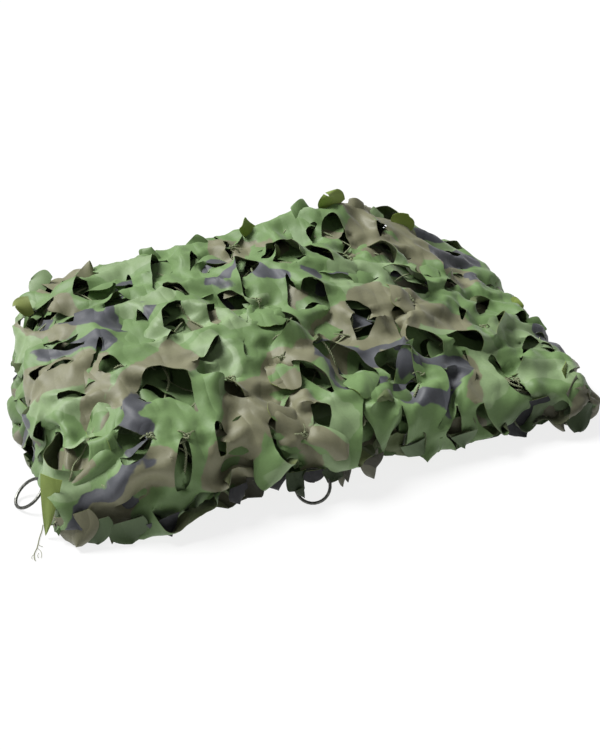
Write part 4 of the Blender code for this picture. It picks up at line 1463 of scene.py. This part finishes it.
def cord_material(name, rgb):
    m = Nodes(name)
    uv = m.add("ShaderNodeUVMap", uv_map="weave")
    big = m.noise(uv.outputs[0], 60.0, 2.0)
    fine = m.noise(uv.outputs[0], 2400.0, 2.0)
    dark = tuple(0.55 * c for c in rgb)
    base = m.mix(big.outputs[0], dark, rgb)
    base = m.mix(m.math("MULTIPLY", fine.outputs[0], 0.5), base, tuple(min(1.0, 1.5 * c) for c in rgb))
    m.link(base, m.bsdf.inputs["Base Color"])
    wave = m.add("ShaderNodeTexWave", wave_type="BANDS", bands_direction="DIAGONAL")
    mapping = m.add("ShaderNodeMapping")
    mapping.inputs["Scale"].default_value = (700.0, 700.0, 1.0)
    m.link(uv.outputs[0], mapping.inputs["Vector"])
    m.link(mapping.outputs[0], wave.inputs["Vector"])
    bump = m.add("ShaderNodeBump")
    bump.inputs["Strength"].default_value = 0.5
    bump.inputs["Distance"].default_value = 0.0002
    m.link(wave.outputs[0], bump.inputs["Height"])
    m.link(bump.outputs[0], m.bsdf.inputs["Normal"])
    m.link(m.math("ADD", m.math("MULTIPLY", fine.outputs[0], 0.2), 0.62), m.bsdf.inputs["Roughness"])
    m.bsdf.inputs["Specular IOR Level"].default_value = 0.3
    return m.mat


# Cords that show in the openings: their way over the heap, as p, s places.
SHOWN_CORDS = (
    ((0.142, -0.090), (0.142, -0.102), (0.134, -0.118), (0.126, -0.142)),
    ((0.138, -0.174), (0.134, -0.190), (0.134, -0.206), (0.130, -0.226)),
    ((0.134, -0.194), (0.122, -0.198), (0.114, -0.202)),
    ((0.094, -0.070), (0.102, -0.074), (0.118, -0.078)),
    ((0.174, -0.150), (0.178, -0.158), (0.178, -0.174)),
    ((0.294, 0.158), (0.290, 0.134), (0.278, 0.106)),
    ((0.298, -0.050), (0.286, -0.066), (0.274, -0.070), (0.262, -0.074)),
    ((0.410, 0.062), (0.406, 0.042), (0.402, 0.018)),
    ((0.286, 0.054), (0.282, 0.030), (0.278, 0.018)),
    ((0.366, -0.030), (0.370, -0.042), (0.362, -0.074)),
    ((0.454, -0.018), (0.450, -0.034), (0.442, -0.054)),
    ((0.322, -0.082), (0.326, -0.094), (0.330, -0.110)),
    ((0.422, -0.134), (0.418, -0.154), (0.406, -0.174)),
    ((0.494, -0.142), (0.510, -0.146), (0.526, -0.162)),
    ((0.334, -0.194), (0.334, -0.202), (0.330, -0.210)),
    ((0.322, -0.162), (0.326, -0.178), (0.330, -0.182)),
    ((0.250, 0.094), (0.250, 0.070), (0.254, 0.054)),
    ((0.462, -0.078), (0.474, -0.082), (0.490, -0.078)),
    ((0.186, 0.010), (0.190, -0.002), (0.190, -0.018)),
    ((0.394, 0.082), (0.398, 0.066), (0.398, 0.046)),
    ((0.034, -0.198), (0.042, -0.210), (0.046, -0.214)),
    ((0.218, -0.138), (0.222, -0.150), (0.214, -0.162)),
)
def make_cords():
    rng = np.random.default_rng(77)
    verts, faces, uvs = [], [], []
    for way in SHOWN_CORDS:
        way = np.array(way)
        # each runs on a little under the cloth at both ends
        way = np.concatenate([[way[0] + 0.5 * (way[0] - way[1])], way, [way[-1] + 0.5 * (way[-1] - way[-2])]])
        t = np.linspace(0, 1, len(way))
        high = -0.008 + 0.007 * np.sin(math.pi * t) + rng.uniform(-0.0015, 0.0015, len(way))
        high = np.minimum(high, bilinear(SKIN_TOP, way[:, 0], way[:, 1])[:, 0] - 0.003)
        two_ply(on_heap(way[:, 0], way[:, 1], high), 0.00135, 0.0060, verts, faces, uvs, float(rng.uniform(0, 6)))
    for p, s in KNOTS:
        c = on_heap(p, s, bilinear(SKIN_TOP, np.array([p]), np.array([s]))[0, 0] + 0.0012)[0]
        n = bilinear(NORMAL, np.array([p]), np.array([s]))[0]
        n /= np.linalg.norm(n)
        u = np.cross(n, (0.2, 1.0, 0.1))
        u /= np.linalg.norm(u)
        v = np.cross(n, u)
        spin = float(rng.uniform(0, 6))
        t = np.linspace(0, 2 * math.pi * 0.94, 60)
        r = 0.0026 + 0.0012 * np.cos(1.5 * 2 * t)
        line = (c + (r * np.cos(2 * t + spin))[:, None] * u + (r * np.sin(2 * t + spin))[:, None] * v * 0.8
                + (0.0016 * np.sin(3 * t))[:, None] * n)
        tube(line, 0.0008, 6, verts, faces, uvs)
        for k in range(2):
            a = spin + 2.1 * k + float(rng.uniform(0, 1.5))
            d = math.cos(a) * u + math.sin(a) * v
            end = np.array([c + d * 0.002 + n * 0.001, c + d * 0.006 + n * 0.0022, c + d * 0.011 - n * 0.001])
            two_ply(end, 0.0008, 0.0036, verts, faces, uvs)
    return verts, faces, uvs


def make_mesh_below():
    """The square cord mesh that the cloth is tied to, a little under the top layer."""
    rng = np.random.default_rng(78)
    verts, faces, uvs = [], [], []
    pitch = 0.082
    for way in range(2):
        for k in range(-12, 13):
            line = []
            for q in np.arange(-0.62, 0.62, 0.012):
                a, b = (q, k * pitch) if way == 0 else (k * pitch, q)
                p = 0.30 + 0.755 * a - 0.655 * b + 0.004 * math.sin(40 * q + k)
                s = -0.02 + 0.655 * a + 0.755 * b + 0.004 * math.sin(33 * q + 2 * k)
                inside = (-0.03 < p < RIGHT_X + 0.02 and hem(p, 0) + 0.012 < s < hem(p, 1) - 0.012)
                if inside:
                    line.append((p, s))
                if (not inside or q > 0.60) and len(line) > 3:
                    line = np.array(line)
                    high = -0.0140 + 0.0025 * np.sin(np.arange(len(line)) * 0.9 + k)
                    pts, _ = even(on_heap(line[:, 0], line[:, 1], high), 0.005)
                    tube(pts, 0.0010, 6, verts, faces, uvs)
                if not inside:
                    line = []
    return verts, faces, uvs


CORD = cord_material("mesh_cord", (0.34, 0.38, 0.22))
cords_obj = mesh_object("net_cords", *make_cords(), CORD)
below_obj = mesh_object("net_mesh", *make_mesh_below(), CORD)
for obj in (cords_obj, below_obj):
    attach(obj, "root")
    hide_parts("net")
for obj in (thread, thread_ends):
    obj.data.materials.append(cord_material(obj.name + "_fibre", (0.30, 0.31, 0.20)))
    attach(obj, "root")
    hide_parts("thread_tail")
tick("cords")

# ------------------------------------------------------------------ leaf-shaped lobes at the edges
# Each hangs from a place on the heap: base x, y, z, the way it hangs, the way its
# outer side faces, length, width, how far it curls (radians), end, colour, and reverse out (1),
# or painted shade: 2 gives the lobe the hem's darker painted-shade materials instead, 3 adds a copy of it in the
# darkest painted shade.
LOBES = (
    ((-0.062, -0.200, 0.040), (0.15, -0.10, -1.0), (0.0, -1.0, 0.2), 0.026, 0.026, -0.5, "round", "dark", 3),
    ((-0.042, -0.204, 0.038), (-0.10, -0.12, -1.0), (0.1, -1.0, 0.1), 0.022, 0.022, 0.3, "blunt", "mid", 3),
    ((-0.024, -0.207, 0.037), (0.05, -0.10, -1.0), (0.0, -1.0, 0.1), 0.019, 0.022, -0.4, "round", "dark", 3),
    ((-0.004, -0.206, 0.037), (0.10, -0.05, -1.0), (0.1, -1.0, 0.1), 0.018, 0.024, 0.4, "blunt", "mid", 3),
    ((0.013, -0.204, 0.038), (0.12, -0.15, -1.0), (0.1, -1.0, 0.2), 0.028, 0.015, -0.3, "point", "brown", 3),
    ((0.044, -0.203, 0.036), (0.20, -0.10, -1.0), (0.0, -1.0, 0.3), 0.023, 0.027, -0.6, "point", "brown", 3),
    ((-0.084, -0.200, 0.038), (-0.15, -0.10, -1.0), (-0.1, -1.0, 0.1), 0.022, 0.024, 0.4, "blunt", "brown", 3),
    ((-0.106, -0.204, 0.036), (0.10, -0.10, -1.0), (0.1, -1.0, 0.1), 0.025, 0.022, -0.4, "round", "dark", 3),
    ((-0.042, -0.212, 0.021), (0.35, -0.25, -1.0), (-0.2, -1.0, 0.3), 0.013, 0.010, -0.3, "point", "pale", 3),
    ((-0.2905, -0.168, 0.068), (-0.20, -0.04, -1.0), (-0.55, -0.83, 0.1), 0.066, 0.024, 0.15, "point", "mid", 1),
    ((-0.290, -0.010, 0.058), (-0.60, -0.15, -0.75), (-0.8, -0.2, 0.6), 0.036, 0.036, -1.9, "round", "mid", 0),
    ((-0.291, 0.022, 0.040), (-0.75, -0.10, -0.50), (-0.6, -0.3, 0.7), 0.034, 0.036, -1.7, "round", "mid", 0),
    ((-0.252, 0.120, 0.108), (-0.95, 0.05, -0.25), (-0.1, -0.6, 0.8), 0.019, 0.026, 0.7, "round", "brown", 1),
    ((0.040, 0.160), (-0.60, 0.30, 0.35), (-0.2, -0.6, 0.8), 0.024, 0.036, -0.5, "round", "pale", 0),
    ((0.090, 0.156), (0.45, 0.35, 0.60), (-0.1, -0.6, 0.8), 0.030, 0.028, 0.3, "point", "brown", 0),
    ((0.426, 0.146), (-0.45, 0.35, 0.70), (-0.2, -0.6, 0.8), 0.024, 0.036, 0.9, "round", "mid", 1),
    ((0.318, 0.154), (-0.60, 0.35, 0.60), (-0.2, -0.6, 0.8), 0.022, 0.022, 0.9, "blunt", "mid", 1),
    ((0.508, 0.124), (0.50, 0.30, 0.65), (0.1, -0.6, 0.8), 0.021, 0.030, 1.2, "round", "mid", 1),
    ((0.382, 0.146), (-0.30, 0.35, 0.60), (0.0, -0.6, 0.8), 0.018, 0.024, -0.4, "blunt", "mid", 0),
    ((0.452, 0.142), (0.20, 0.35, 0.60), (0.1, -0.6, 0.8), 0.018, 0.024, -0.4, "blunt", "brown", 0),
    ((0.478, 0.140), (0.60, 0.30, 0.45), (0.1, -0.6, 0.8), 0.016, 0.022, -0.4, "blunt", "pale", 0),
    ((0.252, 0.150), (-0.40, 0.35, 0.60), (0.0, -0.6, 0.8), 0.016, 0.024, -0.4, "blunt", "mid", 0),
    ((0.186, 0.156), (0.40, 0.35, 0.55), (0.0, -0.6, 0.8), 0.015, 0.026, -0.4, "round", "mid", 0),
    ((0.602, -0.008), (0.80, 0.10, -0.25), (0.2, -0.6, 0.8), 0.014, 0.026, 0.4, "round", "mid", 1),
    ((0.606, -0.052), (0.80, 0.05, 0.40), (0.2, -0.6, 0.8), 0.017, 0.024, -0.4, "blunt", "mid", 0),
    ((0.241, -0.178, 0.044), (0.14, 0.07, -0.99), (-0.11, -0.83, 0.54), 0.042, 0.060, 0.30, "round", "dark", 3),
    ((0.273, -0.176, 0.036), (0.33, -0.22, -0.92), (-0.10, -0.90, 0.30), 0.037, 0.026, 0.40, "point", "brown", 0),
    ((0.308, -0.184, 0.036), (-0.42, -0.22, -0.88), (0.03, -0.84, 0.55), 0.036, 0.032, 0.60, "round", "mid", 2),
    ((0.303, -0.146, 0.062), (0.34, -0.34, -0.84), (0.30, -0.13, 0.85), 0.048, 0.026, 0.20, "round", "mid", 1),
    ((0.298, -0.174, 0.054), (0.38, -0.01, -0.87), (0.20, -0.60, 0.60), 0.046, 0.030, 0.20, "blunt", "brown", 2),
    ((-0.278, -0.190, 0.034), (0.25, -0.32, -0.91), (-0.60, -0.75, 0.30), 0.034, 0.046, 0.45, "round", "brown", 0),
    ((-0.258, -0.201, 0.030), (0.15, -0.08, -0.97), (-0.27, -0.96, 0.11), 0.028, 0.036, 0.35, "round", "mid", 2),
    ((-0.226, -0.210, 0.026), (0.22, -0.14, -0.95), (-0.15, -0.98, 0.02), 0.025, 0.040, 0.35, "round", "mid", 2),
    ((-0.190, -0.216, 0.024), (0.24, 0.00, -0.95), (-0.12, -0.99, 0.02), 0.022, 0.036, 0.30, "point", "dark", 2),
    ((0.098, -0.190, 0.032), (0.20, 0.05, -0.98), (-0.05, -0.98, 0.10), 0.018, 0.030, 0.30, "blunt", "mid", 2),
    ((0.120, -0.188, 0.031), (-0.10, 0.05, -0.98), (-0.08, -0.98, 0.05), 0.018, 0.026, 0.25, "blunt", "mid", 0),
    ((0.157, -0.193, 0.032), (0.15, 0.05, -0.98), (-0.05, -0.98, 0.05), 0.018, 0.032, 0.30, "point", "mid", 2),
    ((0.013, -0.200, 0.034), (-0.02, 0.06, -1.00), (0.05, -0.89, 0.46), 0.030, 0.020, 0.20, "point", "brown", 2),
    ((0.042, -0.197, 0.035), (0.22, -0.21, -0.95), (0.13, -0.75, 0.64), 0.031, 0.028, -0.20, "point", "brown", 2),
)


def make_lobes(title, rows, front, back):
    across, along = 9, 13
    verts, tris, uvs, fields = [], [], [], []
    colours = {"mid": (0, 0, 0), "brown": (1, 0, 0), "dark": (0, 1, 0), "pale": (0, 0, 1)}
    for number, (base, hang, face, length, width, curl, end, colour, reverse) in rows:
        if len(base) == 2:
            p_, s_ = np.array([base[0]]), np.array([base[1]])
            base = on_heap(p_, s_, bilinear(SKIN_TOP, p_, s_)[:, 0] - 0.004)[0]
        base, hang, face = (np.array(v, float) for v in (base, hang, face))
        hang /= np.linalg.norm(hang)
        face = face - hang * np.dot(face, hang)
        face /= np.linalg.norm(face)
        side = np.cross(hang, face)
        first = len(verts)
        place = base.copy()
        for j in range(along):
            t = j / (along - 1)
            angle = curl * t
            way = hang * math.cos(angle) + face * math.sin(angle)
            out = face * math.cos(angle) - hang * math.sin(angle)
            if j:
                place = place + way * length / (along - 1)
            if end == "round":
                half = 0.5 * width * math.sqrt(max(0.02, 1 - t**3.2)) * (0.86 + 0.22 * math.sin(math.pi * t))
            elif end == "point":
                half = 0.5 * width * max(0.04, (1 - t) ** 0.75) * (1 + 0.35 * t)
            else:
                half = 0.5 * width * (1 - 0.18 * t) * (1.0 if t < 0.93 else 0.86)
            for i in range(across):
                u = -1 + 2 * i / (across - 1)
                sway = 0.10 * width * math.sin(2.3 * t + number)
                ripple = 0.09 * width * math.sin(2.0 * u + number * 1.7 + 1.5 * t) - 0.10 * width * u * u
                point = place + side * (u * half + sway * t) + out * ripple * (0.4 + 0.6 * t)
                verts.append((point[0], point[1], min(max(point[2], 0.0014), 0.1776)))
                uvs.append((2.0 + 0.06 * number + u * half, length * t))
                fields.append(colours[colour])
        for j in range(along - 1):
            for i in range(across - 1):
                a = first + j * across + i
                quad = (a, a + 1, a + across + 1, a + across)
                if reverse == 1:
                    quad = quad[::-1]
                tris.append((quad[0], quad[1], quad[2]))
                tris.append((quad[0], quad[2], quad[3]))
    mesh = bpy.data.meshes.new(title)
    mesh.from_pydata(verts, [], tris)
    layer = mesh.uv_layers.new(name="weave")
    loops = np.empty(len(mesh.loops), int)
    mesh.loops.foreach_get("vertex_index", loops)
    layer.data.foreach_set("uv", np.array(uvs)[loops].astype(np.float32).ravel())
    obj = bpy.data.objects.new(title, mesh)
    bpy.context.scene.collection.objects.link(obj)
    mesh.shade_smooth()
    add_camo(obj, 0.5 + 0.45 * (2 * np.array(fields, float) - 1))
    finish_cloth(obj, 0.0006, front, back)
    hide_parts("net")
    return obj


# ------------------------------------------------------------------ leaf lobes over the skin
# Lobes that lie over the neighbouring cloth: root (p, s), the way they point on the
# heap in degrees, length, width, end, how far the tip stands off and how far the
# middle arches, in millimetres.
FLAPS = (
    ( 0.270, -0.106,  -105, 0.040, 0.034, "square", 4, 3),
    ( 0.262, -0.182,   155, 0.034, 0.026, "square", 4, 3),
    ( 0.354, -0.134,  -115, 0.046, 0.036, "square", 4, 4),
    ( 0.266, -0.202,   -40, 0.042, 0.026, "square", 4, 4),
    ( 0.446, -0.018,  -115, 0.044, 0.030, "square", 5, 4),
    ( 0.278, -0.012,   -95, 0.044, 0.034, "square", 4, 3),
    ( 0.078, -0.154,   145, 0.048, 0.040, "square", 3, 2),
    ( 0.406, -0.154,    80, 0.036, 0.026, "point", 4, 3),
)


def more_flaps(known, seed):
    """The same lobes over the rest of the heap."""
    rng = np.random.default_rng(seed)
    rows = list(known)
    for _ in range(900):
        p, s = float(rng.uniform(-0.03, RIGHT_X + 0.03)), float(rng.uniform(-0.24, 0.30))
        if not hem(p, 0) + 0.045 < s < hem(p, 1) - 0.030 or (s < 0.09 and p < 0.56):
            continue
        if min(math.hypot(p - k[0], s - k[1]) for k in rows) < 0.050:
            continue
        rows.append((p, s, float(rng.uniform(-170, -30)), float(rng.uniform(0.032, 0.048)), float(rng.uniform(0.028, 0.042)),
                     ("round", "square", "point", "round")[int(rng.integers(0, 4))], float(rng.uniform(3, 6)), float(rng.uniform(2, 4))))
    return rows


def make_flaps(cloth, blobs):
    top = SKIN_TOP
    rng = np.random.default_rng(404)
    along, across = 17, 13
    t = np.linspace(0, 1, along)[:, None] * np.ones((1, across))
    v = np.linspace(-1, 1, across)[None, :] * np.ones((along, 1))
    verts, tris, flat = [], [], []
    for p, s, ang, length, width, end, lift, arch in FLAPS:
        half = 0.5 * width * (1 + 0.45 * np.maximum(0, 1 - t / 0.30) ** 2)
        if end == "round":
            half = half * np.sqrt(np.maximum(0.05, 1 - np.clip((t - 0.50) / 0.50, 0, 1) ** 2.6))
        elif end == "point":
            half = half * np.maximum(0.07, 1 - np.clip((t - 0.30) / 0.70, 0, 1) ** 1.3)
        else:
            half = half * np.sqrt(np.maximum(0.25, 1 - np.clip((t - 0.72) / 0.28, 0, 1) ** 4))
        turn = float(rng.uniform(-0.75, 0.75))
        skew = float(rng.uniform(-0.25, 0.25))
        a = math.radians(ang) + turn * (t - 0.3)
        step = length / (along - 1)
        cx = np.cumsum(np.cos(a) * step, axis=0) - np.cos(a) * step
        cy = np.cumsum(np.sin(a) * step, axis=0) - np.sin(a) * step
        wave = 1 + 0.10 * np.sin(5.0 * t + 2.0 * v + float(rng.uniform(0, 6)))
        fp = p + cx - np.sin(a) * half * v * wave + np.cos(a) * half * v * skew
        fs = s + cy + np.cos(a) * half * v * wave + np.sin(a) * half * v * skew
        u_, v_ = t.ravel(), v.ravel()
        under_it = bilinear(top, fp.ravel(), fs.ravel())[:, 0]
        basis = np.stack([np.ones_like(u_), u_, v_, u_ * u_, u_ * v_, v_ * v_], 1)
        fit = basis @ np.linalg.lstsq(basis, under_it, rcond=None)[0]
        over = np.percentile(under_it - fit, 92)
        seam = float(rng.uniform(-0.5, 0.5))
        crease_line = np.abs(v_ - seam - 0.5 * (u_ - 0.5))
        h = (fit + np.minimum(over, 0.0035) + 0.001 * lift * u_**1.5
             + 0.001 * arch * (0.5 * np.sin(math.pi * np.clip(u_ + 0.15, 0, 1)) * (1 - v_**2) - 0.7 * crease_line)
             + 0.0012 * np.sin(3.2 * u_ + 2.2 * v_ + float(rng.uniform(0, 6))))
        root = np.clip(1 - u_ / 0.22, 0, 1) ** 1.5
        h = h * (1 - root) + (under_it - 0.0022) * root
        first = len(verts)
        fp_, fs_ = fp.ravel(), fs.ravel()
        pts = on_heap(fp_, fs_, h)
        pts[:, 2] = np.maximum(pts[:, 2], 0.0015)
        verts.extend(map(tuple, pts))
        flat.extend(zip(fp_ * GATHER, fs_ * GATHER))
        for j in range(along - 1):
            for i in range(across - 1):
                k = first + j * across + i
                quad = (k, k + 1, k + across + 1, k + across)
                tris.append((quad[0], quad[2], quad[1]))
                tris.append((quad[0], quad[3], quad[2]))
    verts, tris, flat = np.array(verts), np.array(tris), np.array(flat)
    # the printed side is outward
    n = np.cross(verts[tris[:, 1]] - verts[tris[:, 0]], verts[tris[:, 2]] - verts[tris[:, 0]])
    up = bilinear(NORMAL, flat[tris[:, 0], 0] / GATHER, flat[tris[:, 0], 1] / GATHER)
    wrong = (n * up).sum(axis=1) < 0
    if wrong.mean() > 0.5:
        tris = tris[:, ::-1]
    mesh = bpy.data.meshes.new("net_flaps")
    mesh.from_pydata([tuple(q) for q in verts], [], [tuple(q) for q in tris.tolist()])
    layer = mesh.uv_layers.new(name="weave")
    loops = np.empty(len(mesh.loops), int)
    mesh.loops.foreach_get("vertex_index", loops)
    layer.data.foreach_set("uv", flat[loops].astype(np.float32).ravel())
    obj = bpy.data.objects.new("net_flaps", mesh)
    bpy.context.scene.collection.objects.link(obj)
    mesh.shade_smooth()
    add_camo(obj, camo(flat, GATHER, blobs, 40))
    finish_cloth(obj, 0.0006, FRONT, BACK_LIT)
    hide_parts("net")
    return obj


flaps_obj = make_flaps(skin, all_blobs)
numbered = list(enumerate(LOBES))
lobes_obj = make_lobes("net_lobes", [r for r in numbered if r[1][8] != 2], FRONT, BACK_LIT)
# painted shade: the hem lobes wear darker copies instead, and the lobes under the front end get a copy in the darkest
# painted shade
hem_lobes_obj = make_lobes("net_hem_lobes", [r for r in numbered if r[1][8] == 2], FRONT_HEM_SHADED, BACK_HEM_SHADED)
under_lobes_obj = make_lobes("net_under_lobes", [r for r in numbered if r[1][8] == 3], FRONT_DARKEST_SHADE, BACK_DARKEST_SHADE)
declare()
tick("lobes")

# ------------------------------------------------------------------ the rings
m = Nodes("ring_steel_worn")
geo = m.add("ShaderNodeNewGeometry")
spots = m.noise(geo.outputs["Position"], 420.0, 3.0)
streak = m.noise(geo.outputs["Position"], 90.0, 2.0)
dull = m.mix(m.step(spots.outputs[0], 0.45, 0.65), (0.085, 0.088, 0.080), (0.190, 0.190, 0.170))
m.link(dull, m.bsdf.inputs["Base Color"])
m.bsdf.inputs["Metallic"].default_value = 0.85
m.link(m.math("ADD", m.math("MULTIPLY", streak.outputs[0], 0.30), 0.28), m.bsdf.inputs["Roughness"])
bump = m.add("ShaderNodeBump")
bump.inputs["Strength"].default_value = 0.25
bump.inputs["Distance"].default_value = 0.0002
m.link(spots.outputs[0], bump.inputs["Height"])
m.link(bump.outputs[0], m.bsdf.inputs["Normal"])
for name in ("ring_front", "ring_left"):
    node = bpy.data.objects[name]
    node.data.materials.clear()
    node.data.materials.append(m.mat)

# ------------------------------------------------------------------ floor and light
bpy.ops.mesh.primitive_plane_add(size=60, location=(0, 0, -0.0004))
floor = bpy.context.object
floor.name = "floor"
m = Nodes("floor_paper")
geo = m.add("ShaderNodeNewGeometry")
grain = m.noise(geo.outputs["Position"], 3.0, 3.0)
paper = m.mix(grain.outputs[0], (0.19, 0.19, 0.19), (0.21, 0.21, 0.21))
m.link(paper, m.bsdf.inputs["Base Color"])
# lit a little from below as well, like a light table
m.link(m.mix(grain.outputs[0], (0.97, 0.97, 0.97), (1.0, 1.0, 1.0)), m.bsdf.inputs["Emission Color"])
m.bsdf.inputs["Emission Strength"].default_value = 0.82
m.bsdf.inputs["Roughness"].default_value = 0.9
m.bsdf.inputs["Specular IOR Level"].default_value = 0.1
floor.data.materials.append(m.mat)

world = bpy.data.worlds.new("studio")
world.use_nodes = True
world.node_tree.nodes["Background"].inputs[0].default_value = (1.0, 1.0, 1.0, 1.0)
world.node_tree.nodes["Background"].inputs[1].default_value = 0.15
bpy.context.scene.world = world


key = bpy.data.lights.new("light_key", "SUN")
key.energy = 4.05
key.angle = math.radians(26)
key_object = bpy.data.objects.new("light_key", key)
key_object.rotation_euler = Vector((0.46, -0.44, -0.77)).to_track_quat("-Z", "Y").to_euler()
bpy.context.scene.collection.objects.link(key_object)
bpy.context.scene.view_settings.view_transform = "Standard"

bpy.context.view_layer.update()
tick("done")
